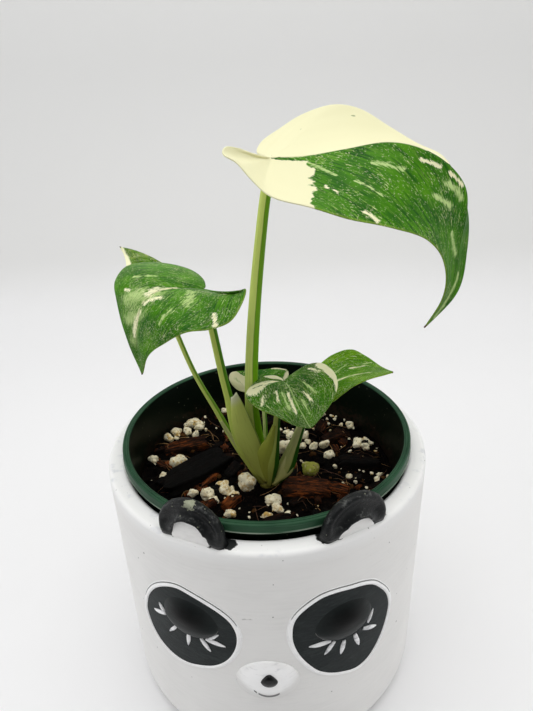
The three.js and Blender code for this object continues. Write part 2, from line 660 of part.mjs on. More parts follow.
const plant = new THREE.Group();
let taken = crownSolid(CUT_CLEARANCE);
for (const [name, blade] of Object.entries(BLADES)) {
  plant.add(part(name, toGeometry(bladeSolid(blade)), LEAF_GREEN));
  taken = taken.add(bladeSolid(blade, CUT_CLEARANCE));
}
for (const [name, stalk] of Object.entries(STALKS)) {
  plant.add(part(name, toGeometry(stalkSolid(stalk).subtract(taken)), STALK_GREEN));
  taken = taken.add(stalkSolid(stalk, CUT_CLEARANCE));
}
assembly.add(plant);
assembly.add(part('potting_mix', pottingMix(taken), DARK_SOIL));

export default assembly;
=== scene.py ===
"""Looks of a potted variegated monstera: blades, stalks, potting mix, nursery pot and painted cover pot.

Lengths are in millimetres up to the place where a mesh is made, which turns them into metres.
The origin is the centre of the cover pot's base, +Z is up and the face looks along -Y.
"""

from __future__ import annotations

import logging
import math
import random
from contextlib import contextmanager
from dataclasses import dataclass, field
from enum import Enum
from functools import reduce
from typing import Iterator, Sequence

import bpy
import numpy as np
from mathutils import Matrix, Vector, noise


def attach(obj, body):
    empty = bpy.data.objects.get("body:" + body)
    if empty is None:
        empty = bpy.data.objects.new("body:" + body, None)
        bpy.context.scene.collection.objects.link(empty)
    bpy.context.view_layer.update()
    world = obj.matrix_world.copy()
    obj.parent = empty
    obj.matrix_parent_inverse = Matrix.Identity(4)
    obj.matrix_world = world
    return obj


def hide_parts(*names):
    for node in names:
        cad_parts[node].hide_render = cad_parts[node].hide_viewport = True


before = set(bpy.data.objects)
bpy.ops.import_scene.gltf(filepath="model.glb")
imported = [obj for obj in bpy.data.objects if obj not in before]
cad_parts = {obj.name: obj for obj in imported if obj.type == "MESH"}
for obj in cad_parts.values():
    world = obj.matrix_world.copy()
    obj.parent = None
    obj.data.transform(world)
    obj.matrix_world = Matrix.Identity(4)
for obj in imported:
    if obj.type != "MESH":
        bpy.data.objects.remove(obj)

LOG = logging.getLogger("monstera")
MM = 0.001
ROOT = "root"
MERGE_DISTANCE = 0.00001

Pair = tuple[float, float]
Point = tuple[float, float, float]
Colour = tuple[float, float, float, float]
Face = tuple[int, ...]
Piece = bpy.types.Object
Finish = bpy.types.Material


class Slot(Enum):
    """The record's material slots."""

    PAINT = "planter_paint"
    PLASTIC = "green_plastic"
    MIX = "potting_mix"
    STEM = "stem"
    LEAF = "leaf"


class Side(Enum):
    """The sides of the face."""

    LEFT = "left"
    RIGHT = "right"


class Half(Enum):
    """The two halves of a blade, as the index of the margin that bounds them."""

    FIRST = 0
    SECOND = 1


class Tint(Enum):
    """The tints that mark a blade."""

    CREAM = "cream"
    PALE = "pale"
    GREEN = "green"


def srgb(red: int, green: int, blue: int) -> Colour:
    """Turns a colour as seen on a screen into the linear values that a shader takes.

    Args:
        red: Red from 0 to 255.
        green: Green from 0 to 255.
        blue: Blue from 0 to 255.

    Returns:
        The linear colour, with full alpha.
    """
    levels = [channel / 255 for channel in (red, green, blue)]
    linear = [level / 12.92 if level <= 0.04045 else ((level + 0.055) / 1.055) ** 2.4 for level in levels]
    return (linear[0], linear[1], linear[2], 1.0)


class Wire:
    """A socket's value that can be used in Python expressions, each of which adds a Math node."""

    def __init__(self, graph: Graph, socket: bpy.types.NodeSocket) -> None:
        """Keeps the graph and the output socket that this value comes from."""
        self.graph = graph
        self.socket = socket

    def _math(self, operation: str, *operands: float | Wire) -> Wire:
        """Adds a Math node with these operands."""
        return self.graph.wire("ShaderNodeMath", {"operation": operation}, dict(enumerate(operands)))

    def __add__(self, other: float | Wire) -> Wire:
        """Adds."""
        return self._math("ADD", self, other)

    __radd__ = __add__

    def __sub__(self, other: float | Wire) -> Wire:
        """Subtracts."""
        return self._math("SUBTRACT", self, other)

    def __rsub__(self, other: float | Wire) -> Wire:
        """Subtracts this value from another."""
        return self._math("SUBTRACT", other, self)

    def __mul__(self, other: float | Wire) -> Wire:
        """Multiplies."""
        return self._math("MULTIPLY", self, other)

    def __truediv__(self, other: float | Wire) -> Wire:
        """Divides."""
        return self._math("DIVIDE", self, other)

    def __abs__(self) -> Wire:
        """Drops the sign."""
        return self._math("ABSOLUTE", self)

    def __neg__(self) -> Wire:
        """Turns the sign round."""
        return self._math("MULTIPLY", self, -1.0)

    def root(self) -> Wire:
        """Takes the square root."""
        return self._math("SQRT", self)

    def least(self, other: float | Wire) -> Wire:
        """The smaller of two values."""
        return self._math("MINIMUM", self, other)

    def most(self, other: float | Wire) -> Wire:
        """The larger of two values."""
        return self._math("MAXIMUM", self, other)

    def sine(self) -> Wire:
        """Takes the sine."""
        return self._math("SINE", self)

    def angle_to(self, other: float | Wire) -> Wire:
        """The angle whose tangent is this value over another."""
        return self._math("ARCTAN2", self, other)

    def step(self, low: float, high: float) -> Wire:
        """A smooth step.

        Args:
            low: Where the step is 0.
            high: Where the step is 1. It may be lower than low.

        Returns:
            A value from 0 to 1.
        """
        inputs = {"Value": self, "From Min": min(low, high), "From Max": max(low, high)}
        rising = self.graph.wire("ShaderNodeMapRange", {"interpolation_type": "SMOOTHSTEP"}, inputs)
        return rising if high > low else 1 - rising


class Graph:
    """The node tree of one material."""

    def __init__(self, name: str) -> None:
        """Starts an empty material.

        Args:
            name: The material's name.
        """
        self.material = bpy.data.materials.new(name)
        self.material.use_nodes = True
        self.tree = self.material.node_tree
        self.tree.nodes.clear()

    def node(self, kind: str, settings: dict, inputs: dict) -> bpy.types.Node:
        """Adds a node.

        Args:
            kind: The node's type.
            settings: Its settings, which are set first.
            inputs: Values or wires for its sockets, by name or index.

        Returns:
            The node.
        """
        node = self.tree.nodes.new(kind)
        for key, value in settings.items():
            setattr(node, key, value)
        for key, value in inputs.items():
            if isinstance(value, Wire):
                self.tree.links.new(value.socket, node.inputs[key])
            else:
                node.inputs[key].default_value = value
        return node

    def wire(self, kind: str, settings: dict, inputs: dict, output: int | str = 0) -> Wire:
        """Adds a node of this kind, with its settings and inputs, and returns one of its outputs."""
        return Wire(self, self.node(kind, settings, inputs).outputs[output])

    def vector(self, operation: str, inputs: dict, output: int | str = 0) -> Wire:
        """Adds a Vector Math node and returns one of its outputs."""
        return self.wire("ShaderNodeVectorMath", {"operation": operation}, inputs, output)

    def place(self) -> Wire:
        """The place on the object in millimetres, as a vector."""
        coordinates = self.wire("ShaderNodeTexCoord", {}, {}, "Object")
        return self.vector("MULTIPLY", {0: coordinates, 1: (1 / MM, 1 / MM, 1 / MM)})

    def own_map(self, name: str) -> Wire:
        """The vector that one of the piece's own maps holds."""
        return self.wire("ShaderNodeUVMap", {"uv_map": name}, {})

    def tone(self) -> Wire:
        """The number from 0 to 1 that each copied form carries."""
        return self.wire("ShaderNodeAttribute", {"attribute_name": "tone"}, {}, "Fac")

    def split(self, vector: Wire) -> list[Wire]:
        """The three parts of a vector."""
        return [Wire(self, output) for output in self.node("ShaderNodeSeparateXYZ", {}, {0: vector}).outputs]

    def grain(
        self, place: Wire | tuple, size: float, detail: float = 3.0, roughness: float = 0.55
    ) -> Wire:
        """Cloudy noise from 0 to 1.

        Args:
            place: The place in millimetres, as a vector or as its three parts.
            size: The size of its clouds, in millimetres.
            detail: How many finer layers it has.
            roughness: How strong the finer layers are.

        Returns:
            The noise.
        """
        if isinstance(place, tuple):
            place = self.wire("ShaderNodeCombineXYZ", {}, dict(enumerate(place)))
        inputs = {"Vector": place, "Scale": 1 / size, "Detail": detail, "Roughness": roughness}
        return self.wire("ShaderNodeTexNoise", {}, inputs)

    def cells(self, place: Wire, size: float) -> Wire:
        """The distance to the nearest of scattered points, in cells of this size."""
        inputs = {"Vector": place, "Scale": 1 / size}
        return self.wire("ShaderNodeTexVoronoi", {"feature": "F1"}, inputs, "Distance")

    def capsule(self, flat: Wire, start: Pair, end: Pair) -> Wire:
        """The distance on a flat map from a place to the line between two places.

        Args:
            flat: The place on the flat map.
            start: Where the line starts.
            end: Where the line ends.

        Returns:
            The distance.
        """
        run = (end[0] - start[0], end[1] - start[1], 0.0)
        offset = self.vector("SUBTRACT", {0: flat, 1: (*start, 0.0)})
        along = self.vector("DOT_PRODUCT", {0: offset, 1: run}, "Value")
        share = self.wire("ShaderNodeMapRange", {}, {"Value": along, "From Max": run[0] ** 2 + run[1] ** 2})
        nearest = self.vector("SCALE", {0: run, "Scale": share})
        return self.vector("DISTANCE", {0: offset, 1: nearest}, "Value")

    def mix(self, first: Colour | Wire, second: Colour | Wire, share: float | Wire) -> Wire:
        """A colour between the first, at share 0, and the second, at share 1."""
        return self.wire("ShaderNodeMix", {"data_type": "RGBA"}, {0: share, 6: first, 7: second}, 2)

    def bump(self, height: Wire, distance: float, strength: float = 1.0) -> Wire:
        """A normal from a height that is 1 at the given distance in millimetres."""
        inputs = {"Height": height, "Distance": distance * MM, "Strength": strength}
        return self.wire("ShaderNodeBump", {}, inputs)

    def finish(self, colour: Wire, roughness: float | Wire, gloss: float = 0.5, **more: Wire) -> Finish:
        """Ends the graph in a Principled shader.

        Args:
            colour: Its colour.
            roughness: How rough it is.
            gloss: How strongly it mirrors. 0.5 is usual.
            more: Wires for its other sockets, by name.

        Returns:
            The material.
        """
        inputs = {"Base Color": colour, "Roughness": roughness, "Specular IOR Level": gloss, **more}
        shader = self.wire("ShaderNodeBsdfPrincipled", {}, inputs)
        self.node("ShaderNodeOutputMaterial", {}, {"Surface": shader})
        return self.material


def unit(vectors: np.ndarray) -> np.ndarray:
    """The vectors at length 1."""
    return vectors / np.maximum(np.linalg.norm(vectors, axis=-1, keepdims=True), 1e-9)


class SmoothCurve:
    """A curve through points in space, read by its share of length."""

    STEPS = 40

    def __init__(self, points: Sequence[Point], closed: bool = False) -> None:
        """Runs a centripetal Catmull-Rom curve through the points.

        Args:
            points: Where it passes, in order.
            closed: Whether it goes on to the first point again.
        """
        knots = np.array(points, dtype=float)
        before, after = 2 * knots[:1] - knots[1:2], 2 * knots[-1:] - knots[-2:-1]
        if closed:
            before, after = knots[-1:], knots[:2]
        padded = np.vstack([before, knots, after])
        stretches = [self._stretch(padded[i : i + 4]) for i in range(len(padded) - 3)]
        self.samples = np.vstack([*stretches, padded[-2:-1]])
        lengths = np.linalg.norm(np.diff(self.samples, axis=0), axis=1)
        self.reach = np.concatenate([[0.0], np.cumsum(lengths)])
        self.length = float(self.reach[-1])

    def _stretch(self, corners: np.ndarray) -> np.ndarray:
        """Samples the curve between the middle two of four points.

        Args:
            corners: The four points.

        Returns:
            The samples, without the last.
        """
        before, here, after = np.maximum(np.linalg.norm(np.diff(corners, axis=0), axis=1) ** 0.5, 1e-4)
        start, end = corners[1], corners[2]
        leave = (start - corners[0]) / before - (end - corners[0]) / (before + here) + (end - start) / here
        arrive = (end - start) / here - (corners[3] - start) / (here + after) + (corners[3] - end) / after
        share = np.linspace(0, 1, self.STEPS, endpoint=False)[:, None]
        square, cube = share**2, share**3
        ends = start * (2 * cube - 3 * square + 1) + end * (3 * square - 2 * cube)
        return ends + leave * here * (cube - 2 * square + share) + arrive * here * (cube - square)

    def at(self, shares: np.ndarray) -> np.ndarray:
        """The points at these shares of the length."""
        reach = np.clip(shares, 0, 1) * self.length
        return np.stack([np.interp(reach, self.reach, self.samples[:, axis]) for axis in range(3)], axis=1)

    def heading(self, shares: np.ndarray) -> np.ndarray:
        """The unit directions of travel at these shares of the length."""
        nudge = 0.004
        return unit(self.at(shares + nudge) - self.at(shares - nudge))


def read_stops(stops: Sequence[Pair], shares: np.ndarray) -> np.ndarray:
    """Values read from [place, value] stops, rounded off a little at each stop.

    Args:
        stops: The places and values.
        shares: Where to read, evenly spaced.

    Returns:
        The values.
    """
    values = np.interp(shares, [place for place, _ in stops], [value for _, value in stops])
    for _ in range(3):
        values[1:-1] = (values[:-2] + 2 * values[1:-1] + values[2:]) / 4
    return values


def grid_faces(rows: int, columns: int, closed: bool = False) -> list[Face]:
    """Quads over a grid of points.

    Args:
        rows: How many rows of quads.
        columns: How many columns of quads.
        closed: Whether the last column joins the first.

    Returns:
        The quads as point numbers.
    """
    across = columns if closed else columns + 1
    quads = []
    for here in range(0, rows * across, across):
        for column in range(columns):
            after = (column + 1) % across
            quads.append((here + column, here + after, here + across + after, here + across + column))
    return quads


def tube_faces(steps: int, sides: int) -> list[Face]:
    """Quads round a tube of this many steps, and a face over each of its ends."""
    ends = [tuple(reversed(range(sides))), tuple(range(steps * sides, (steps + 1) * sides))]
    return [*grid_faces(steps, sides, closed=True), *ends]


def grid_map(first: np.ndarray, second: np.ndarray) -> np.ndarray:
    """Two values for each point of a grid, from arrays that spread over it."""
    return np.stack(np.broadcast_arrays(first, second), axis=-1).reshape(-1, 2)


def deselect_all() -> None:
    """Leaves nothing selected and nothing active."""
    bpy.ops.object.select_all(action="DESELECT")
    bpy.context.view_layer.objects.active = None


def choose(piece: Piece) -> None:
    """Makes one piece the only selected and the active one.

    Args:
        piece: The piece.
    """
    deselect_all()
    piece.select_set(True)
    bpy.context.view_layer.objects.active = piece


def active() -> Piece:
    """The active piece."""
    return bpy.context.view_layer.objects.active


@contextmanager
def editing() -> Iterator[None]:
    """Edit mode on the active piece, entered with everything selected."""
    bpy.ops.object.mode_set(mode="EDIT")
    bpy.ops.mesh.select_all(action="SELECT")
    yield
    bpy.ops.object.mode_set(mode="OBJECT")


def settle(name: str) -> Piece:
    """Names the active piece, and moves its place, turn and size into its mesh.

    Args:
        name: The piece's name.

    Returns:
        The piece.
    """
    active().name = name
    bpy.ops.object.transform_apply(location=True, rotation=True, scale=True)
    return active()


def modify(kind: str, **settings: object) -> None:
    """Gives the active piece a modifier and applies it.

    Args:
        kind: The modifier's type.
        **settings: Its settings.
    """
    modifier = active().modifiers.new(kind.lower(), kind)
    for key, value in settings.items():
        setattr(modifier, key, value)
    bpy.ops.object.modifier_apply(modifier=modifier.name)


def mesh_piece(name: str, points: np.ndarray, faces: Sequence[Face]) -> Piece:
    """Makes a piece from points and faces, and chooses it.

    Args:
        name: The piece's name.
        points: Its points in millimetres.
        faces: Its faces as point numbers.

    Returns:
        The piece.
    """
    mesh = bpy.data.meshes.new(name)
    mesh.from_pydata((points * MM).tolist(), [], [tuple(face) for face in faces])
    mesh.update()
    piece = bpy.data.objects.new(name, mesh)
    bpy.context.scene.collection.objects.link(piece)
    choose(piece)
    return piece


def mend(outward: bool = True) -> None:
    """Merges the active piece's doubled points.

    Args:
        outward: Whether its faces are turned outwards too.
    """
    with editing():
        bpy.ops.mesh.remove_doubles(threshold=MERGE_DISTANCE)
        bpy.ops.mesh.dissolve_degenerate(threshold=MERGE_DISTANCE / 10)
        if outward:
            bpy.ops.mesh.normals_make_consistent(inside=False)


def whole_piece(name: str, points: np.ndarray, faces: Sequence[Face]) -> Piece:
    """Makes a smooth piece from points and faces, with its doubled points merged.

    Args:
        name: The piece's name.
        points: Its points in millimetres.
        faces: Its faces, as point numbers.

    Returns:
        The piece.
    """
    piece = mesh_piece(name, points, faces)
    mend()
    bpy.ops.object.shade_smooth()
    return piece


def write_map(piece: Piece, name: str, values: np.ndarray) -> None:
    """Writes one of a piece's own maps from a pair of values for each point.

    Args:
        piece: The piece.
        name: The map's name.
        values: Two values for each point.
    """
    mesh = piece.data
    corners = np.empty(len(mesh.loops), dtype=np.int32)
    mesh.loops.foreach_get("vertex_index", corners)
    layer = mesh.uv_layers.new(name=name, do_init=False)
    layer.data.foreach_set("uv", values[corners].astype(np.float32).ravel())


def read_points(piece: Piece) -> np.ndarray:
    """Reads a piece's points.

    Args:
        piece: The piece.

    Returns:
        Its points in millimetres.
    """
    flat = np.empty(len(piece.data.vertices) * 3)
    piece.data.vertices.foreach_get("co", flat)
    return flat.reshape(-1, 3) / MM


def write_points(piece: Piece, points: np.ndarray) -> None:
    """Moves a piece's points to new places in millimetres."""
    piece.data.vertices.foreach_set("co", (points * MM).ravel())
    piece.data.update()


def wander(points: np.ndarray, size: float, seed: float) -> np.ndarray:
    """Smooth noise from about -1 to 1 at these points, with swells of this size in millimetres."""
    shift = Vector((seed, 1.7 * seed, -seed))
    return np.array([noise.noise(Vector(point) / size + shift) for point in points])


def spin_profile(name: str, profile: Sequence[Pair], steps: int) -> Piece:
    """Draws a profile by extruding one vertex from point to point, and spins it round the Z axis.

    Args:
        name: The piece's name.
        profile: Radius and height of each point.
        steps: How many steps the full turn has.

    Returns:
        The closed piece.
    """
    deselect_all()
    radius, height = profile[0]
    bpy.ops.mesh.primitive_plane_add(size=MM, location=(radius * MM, 0, height * MM))
    piece = settle(name)
    with editing():
        bpy.ops.mesh.merge(type="CENTER")
        for next_radius, next_height in profile[1:]:
            move = ((next_radius - radius) * MM, 0, (next_height - height) * MM)
            bpy.ops.mesh.extrude_region_move(TRANSFORM_OT_translate={"value": move})
            radius, height = next_radius, next_height
        bpy.ops.mesh.select_all(action="SELECT")
        bpy.ops.mesh.spin(steps=steps, angle=2 * math.pi, center=(0, 0, 0), axis=(0, 0, 1))
    mend()
    bpy.ops.object.shade_smooth()
    return piece


def arc_points(centre: Pair, radius: float, start: float, end: float, steps: int) -> list[Pair]:
    """Points of a rounded corner in a profile, as radius and height, between two angles in degrees."""
    angles = [math.radians(start + (end - start) * i / steps) for i in range(steps + 1)]
    return [(centre[0] + radius * math.cos(angle), centre[1] + radius * math.sin(angle)) for angle in angles]


def dress(piece: Piece, finishes: Sequence[Finish], slot: Slot, *nodes: str) -> None:
    """Gives a finished piece its materials and its place in the frame.

    Args:
        piece: The piece.
        finishes: Its materials, in the order of its material slots.
        slot: Not used.
        nodes: The CAD nodes that it stands for.
    """
    piece.data.materials.clear()
    for finish in finishes:
        piece.data.materials.append(finish)
    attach(piece, ROOT)
    if nodes:
        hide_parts(*nodes)
    LOG.info("%s: %d faces", piece.name, len(piece.data.polygons))


def dress_cast(piece: Piece, paint: Finish) -> None:
    """Gives a finished piece of the casting its paint and its place in the frame."""
    dress(piece, [paint], Slot.PAINT, "planter")


@dataclass
class Form:
    """Points in millimetres and faces of a form that is copied."""

    points: np.ndarray
    faces: list[Face]

    @classmethod
    def shaped(cls, points: np.ndarray) -> Form:
        """Takes the active piece's faces, and removes the piece.

        Args:
            points: The form's points, one for each of the piece's.

        Returns:
            The form.
        """
        faces = [tuple(face.vertices) for face in active().data.polygons]
        bpy.data.objects.remove(active(), do_unlink=True)
        return cls(points, faces)

    @staticmethod
    def _ball(detail: int) -> np.ndarray:
        """Makes a sphere of radius 1 the active piece, and reads its points.

        Args:
            detail: How often its first faces are split.

        Returns:
            The points.
        """
        deselect_all()
        bpy.ops.mesh.primitive_ico_sphere_add(subdivisions=detail, radius=MM)
        return read_points(active())

    @classmethod
    def lump(cls, seed: float, detail: int) -> Form:
        """A knobby lump of about unit width.

        Args:
            seed: What makes it unlike the others.
            detail: The sphere's subdivisions.

        Returns:
            The form.
        """
        rays = cls._ball(detail)
        knobs = 0.55 * wander(rays, 0.7, seed) + 0.22 * wander(rays, 0.28, seed + 9)
        return cls.shaped(rays * (1 + knobs)[:, None] / 2)

    @classmethod
    def puff(cls, seed: int, detail: int) -> Form:
        """A puffed grain of unit width: a few round swellings grown together.

        Args:
            seed: What makes it unlike the others.
            detail: The sphere's subdivisions.

        Returns:
            The form.
        """
        draw = random.Random(seed)
        rays = unit(cls._ball(detail))
        sharpness = 26.0
        total = np.exp(sharpness * 0.26) * np.ones(len(rays))
        for _ in range(5):
            middle = np.array([draw.uniform(-0.21, 0.21) for _ in range(3)])
            ahead = rays @ middle
            room = draw.uniform(0.22, 0.32) ** 2 - (middle @ middle - ahead**2)
            total += np.where(room > 0, np.exp(sharpness * (ahead + np.sqrt(np.maximum(room, 0)))), 0)
        points = rays * (np.log(total) / sharpness)[:, None]
        points *= 1 + (0.14 * wander(points, 0.2, seed) + 0.08 * wander(points, 0.09, seed + 5))[:, None]
        return cls.shaped(points / (2 * np.abs(points).max()))

    @classmethod
    def chip(cls, seed: float, cuts: int) -> Form:
        """A split chip of bark, of unit length, width and thickness.

        Args:
            seed: What makes it unlike the others.
            cuts: How often each side is subdivided.

        Returns:
            The form.
        """
        deselect_all()
        bpy.ops.mesh.primitive_cube_add(size=MM)
        with editing():
            bpy.ops.mesh.bevel(offset=0.1 * MM, segments=2, affect="EDGES")
            bpy.ops.mesh.subdivide(number_cuts=cuts)
        points = read_points(active())
        ends = np.abs(points[:, 0]) * 2
        taper = 1 - 0.35 * ends**2 * (0.6 + wander(points, 0.8, seed))
        furrows = 0.1 * wander(points * np.array([0.8, 4.0, 2.0]), 0.6, seed + 5)
        furrows += 0.06 * wander(points * np.array([1.2, 9.0, 4.0]), 0.6, seed + 3)
        points[:, 1] *= taper
        points[:, 2] = points[:, 2] * (0.85 + 0.3 * wander(points, 0.5, seed + 2)) + furrows
        points[:, 0] += 0.12 * wander(points * np.array([0.2, 5.0, 3.0]), 0.7, seed + 7) * ends
        return cls.shaped(points)


@dataclass
class Collector:
    """Copies of small forms, gathered into one piece, each with its own tone and grain map."""

    points: list[np.ndarray] = field(default_factory=list)
    faces: list[Face] = field(default_factory=list)
    tones: list[np.ndarray] = field(default_factory=list)
    grains: list[np.ndarray] = field(default_factory=list)
    count: int = 0

    def add(self, form: Form, turn: Matrix, size: Point, place: Point, tone: float) -> None:
        """Adds one copy.

        Args:
            form: The form.
            turn: How it is turned.
            size: Its factors along its own axes.
            place: Where its middle goes, in millimetres.
            tone: Its tone from 0 to 1.
        """
        scaled = form.points * np.array(size)
        self.points.append(scaled @ np.array(turn).T + np.array(place))
        self.faces.extend(tuple(corner + self.count for corner in face) for face in form.faces)
        self.tones.append(np.full(len(scaled), tone))
        self.grains.append(np.stack([scaled[:, 0] + 40 * tone, scaled[:, 1] + 0.6 * scaled[:, 2]], axis=1))
        self.count += len(scaled)

    def dressed(self, name: str, finish: Finish) -> None:
        """Makes the piece with its tones and grain map, smooth, and dresses it.

        Args:
            name: Its name.
            finish: Its material.
        """
        piece = mesh_piece(name, np.vstack(self.points), self.faces)
        tones = piece.data.attributes.new("tone", "FLOAT", "POINT")
        tones.data.foreach_set("value", np.concatenate(self.tones).astype(np.float32))
        write_map(piece, "grain", np.vstack(self.grains))
        bpy.ops.object.shade_smooth()
        dress(piece, [finish], Slot.MIX)


@dataclass(frozen=True)
class CastPaint:
    """Brushed white paint on the casting, the black by the ears' feet, and a painted highlight on the rim."""

    white: Colour = srgb(240, 239, 237)
    shade: Colour = srgb(229, 228, 226)
    rim_highlight_white: Colour = srgb(244, 244, 243)
    black: Colour = srgb(20, 23, 23)
    speck: Colour = srgb(90, 88, 84)
    smudge: Colour = srgb(150, 160, 178)
    rim_height: float = 104.4
    black_radius: float = 60.9
    scratch_height: float = 76.6
    scratch_arc: float = 6.5

    def material(self, pot: CoverPot) -> Finish:
        """Builds the paint over the whole casting.

        Args:
            pot: The pot whose sizes place the marks.

        Returns:
            The material.
        """
        graph = Graph("cast_paint")
        place = graph.place()
        x, y, z = graph.split(place)
        radius = (x * x + y * y).root()
        arc = x.angle_to(-y) * pot.radius
        ragged = graph.grain(place, 2.2) - 0.5
        skirt = reduce(Wire.most, [self._foot(x, y, ragged, *foot) for foot in pot.foot_places()])
        on_rim = z.step(self.rim_height - 0.8, self.rim_height)
        black = skirt * on_rim * (radius + ragged * 2.0).step(self.black_radius, self.black_radius - 0.4)
        clouds = graph.grain(place, 26.0)
        strokes = graph.grain((arc * 0.18, z * 1.6, radius), 1.6, 4.0)
        rim_strokes = graph.grain((arc * 0.25, radius * 1.8, 0.0), 1.4)
        white = graph.mix(self.white, self.shade, (clouds * 0.7 + strokes * 0.5 - 0.25).step(0.2, 0.8))
        # Painted highlight: the white turns whiter over the top of the wall and the rim.
        white = graph.mix(white, self.rim_highlight_white, z.step(98.0, 104.0))
        dot_size = graph.grain(place, 15.0, 1.0) * 0.07
        specks = (graph.cells(place, 7.0) - dot_size).step(0.015, 0.0)
        white = graph.mix(white, self.speck, specks * 0.75)
        wobble = graph.grain(place, 5.0, 2.0) - 0.5
        scratch_line = abs(z - self.scratch_height - wobble * 2.0).step(0.45, 0.1)
        scratch_break = graph.grain((arc * 0.6, z, 0.0), 1.6, 2.0).step(0.52, 0.62)
        scratches = scratch_line * scratch_break * abs(arc + self.scratch_arc).step(5.2, 4.0)
        white = graph.mix(white, self.speck, scratches * 0.4)
        smudges = graph.grain(place, 6.0).step(0.58, 0.76) * on_rim
        white = graph.mix(white, self.smudge, smudges * 0.3)
        rim_dots = (graph.cells(place, 3.2) - dot_size).step(0.03, 0.0) * on_rim
        white = graph.mix(white, self.speck, rim_dots * 0.7)
        colour = graph.mix(white, self.black, black)
        fine = graph.grain(place, 0.9)
        pits = graph.cells(place, 2.6).step(0.16, 0.05) * graph.grain(place, 9.0, 2.0).step(0.5, 0.62)
        height = strokes * 0.5 + rim_strokes * 0.4 * on_rim + fine * 0.35 - pits * 0.8 + black * 0.8
        roughness = 0.56 + (fine - 0.5) * 0.12 - black * 0.1
        return graph.finish(colour, roughness, Normal=graph.bump(height, 0.1, 0.8))

    def _foot(self, x: Wire, y: Wire, ragged: Wire, east: float, north: float, reach: float) -> Wire:
        """A mask of the black round one foot of an ear, out to its reach, with a ragged edge."""
        off_x, off_y = x - east, y - north
        return ((off_x * off_x + off_y * off_y).root() + ragged * 3.2).step(reach + 0.2, reach - 0.2)


@dataclass(frozen=True)
class EarPaint:
    """Black paint on an ear: dust and painted highlight where it faces up, pitted, and chipped in one place.
    """

    black: Colour = srgb(5, 8, 9)
    dust: Colour = srgb(84, 86, 84)
    chip: Colour = srgb(158, 162, 138)

    def material(self, name: str, chip_place: Point, chip_radius: float) -> Finish:
        """Builds the paint of one ear.

        Args:
            name: The material's name.
            chip_place: Where its chip is.
            chip_radius: The chip's radius.

        Returns:
            The material.
        """
        graph = Graph(name)
        place = graph.place()
        upward = graph.split(graph.wire("ShaderNodeNewGeometry", {}, {}, "Normal"))[2]
        mottle = graph.grain(place, 1.3, 4.0, 0.75)
        patches = graph.grain(place, 5.0, 2.0)
        # Grey specks where the ear faces up: dust, and painted highlight from above.
        dust = (mottle + patches * 0.5).step(0.78, 0.94) * upward.step(0.0, 0.8)
        colour = graph.mix(self.black, self.dust, dust * 0.8)
        dots = graph.cells(place, 1.9).step(0.16, 0.08) * graph.grain(place, 5.0, 1.0).step(0.5, 0.58)
        colour = graph.mix(colour, self.chip, dots * 0.7)
        east, north, up = (part - middle for part, middle in zip(graph.split(place), chip_place))
        away = (east * east + north * north + up * up).root() / chip_radius
        chip = (away + (graph.grain(place, 0.9) - 0.5) * 2.2).step(0.95, 0.85)
        colour = graph.mix(colour, self.chip, chip * (mottle * 0.9 + 0.35).least(1.0))
        height = mottle * 0.6 + graph.grain(place, 0.6, 2.0) * 0.3 - chip * 0.8 - dots * 0.5
        return graph.finish(colour, 0.26 + mottle * 0.3, 0.25, Normal=graph.bump(height, 0.3))


@dataclass(frozen=True)
class SmallPaint:
    """Brushed paint of one colour, for the small raised features of the face."""

    name: str
    colour: Colour
    streak: Colour
    roughness: float
    gloss: float = 0.5
    streaky: float = 0.5

    def material(self) -> Finish:
        """Builds the paint.

        Returns:
            The material.
        """
        graph = Graph(self.name)
        place = graph.place()
        x, y, z = graph.split(place)
        brushed = graph.grain((x * 0.5, y * 0.5, z * 1.5), 1.6, 4.0, 0.65)
        arcs = graph.grain((x * 0.3, y * 0.3, z * 0.9), 3.2, 2.0)
        streaks = (brushed * 0.6 + arcs * 0.5).step(0.5, 0.75) * self.streaky
        colour = graph.mix(self.colour, self.streak, streaks)
        normal = graph.bump(brushed + graph.grain(place, 0.7) * 0.5, 0.12, 0.7)
        return graph.finish(colour, self.roughness, self.gloss, Normal=normal)


@dataclass(frozen=True)
class LidPaint:
    """Black eyelid paint: painted shade, deepest in a spot above its middle, and grey like the patch all
    round.
    """

    black: Colour = srgb(2, 3, 3)
    grey: Colour = srgb(20, 27, 27)
    shade_spot_height: float = 1.6

    def material(self, name: str, centre: Pair, reach: float, radius: float) -> Finish:
        """Builds the paint of one lid.

        Args:
            name: The material's name.
            centre: The lid's middle on the unrolled wall.
            reach: How far the painted shade's dark spot spreads.
            radius: The wall's radius.

        Returns:
            The material.
        """
        graph = Graph(name)
        x, y, z = graph.split(graph.place())
        across = x.angle_to(-y) * radius - centre[0]
        up = z - (centre[1] + self.shade_spot_height)
        brushed = graph.grain((across * 0.7, z * 1.4, 0.0), 1.6, 4.0, 0.65)
        away = (across * across * 0.5 + up * up).root() / reach + (brushed - 0.5) * 0.4
        # Painted shade: black at the spot above the lid's middle, grey further out.
        colour = graph.mix(self.black, self.grey, away.step(0.15, 1.0))
        return graph.finish(colour, 0.42, 0.13, Normal=graph.bump(brushed, 0.1, 0.6))


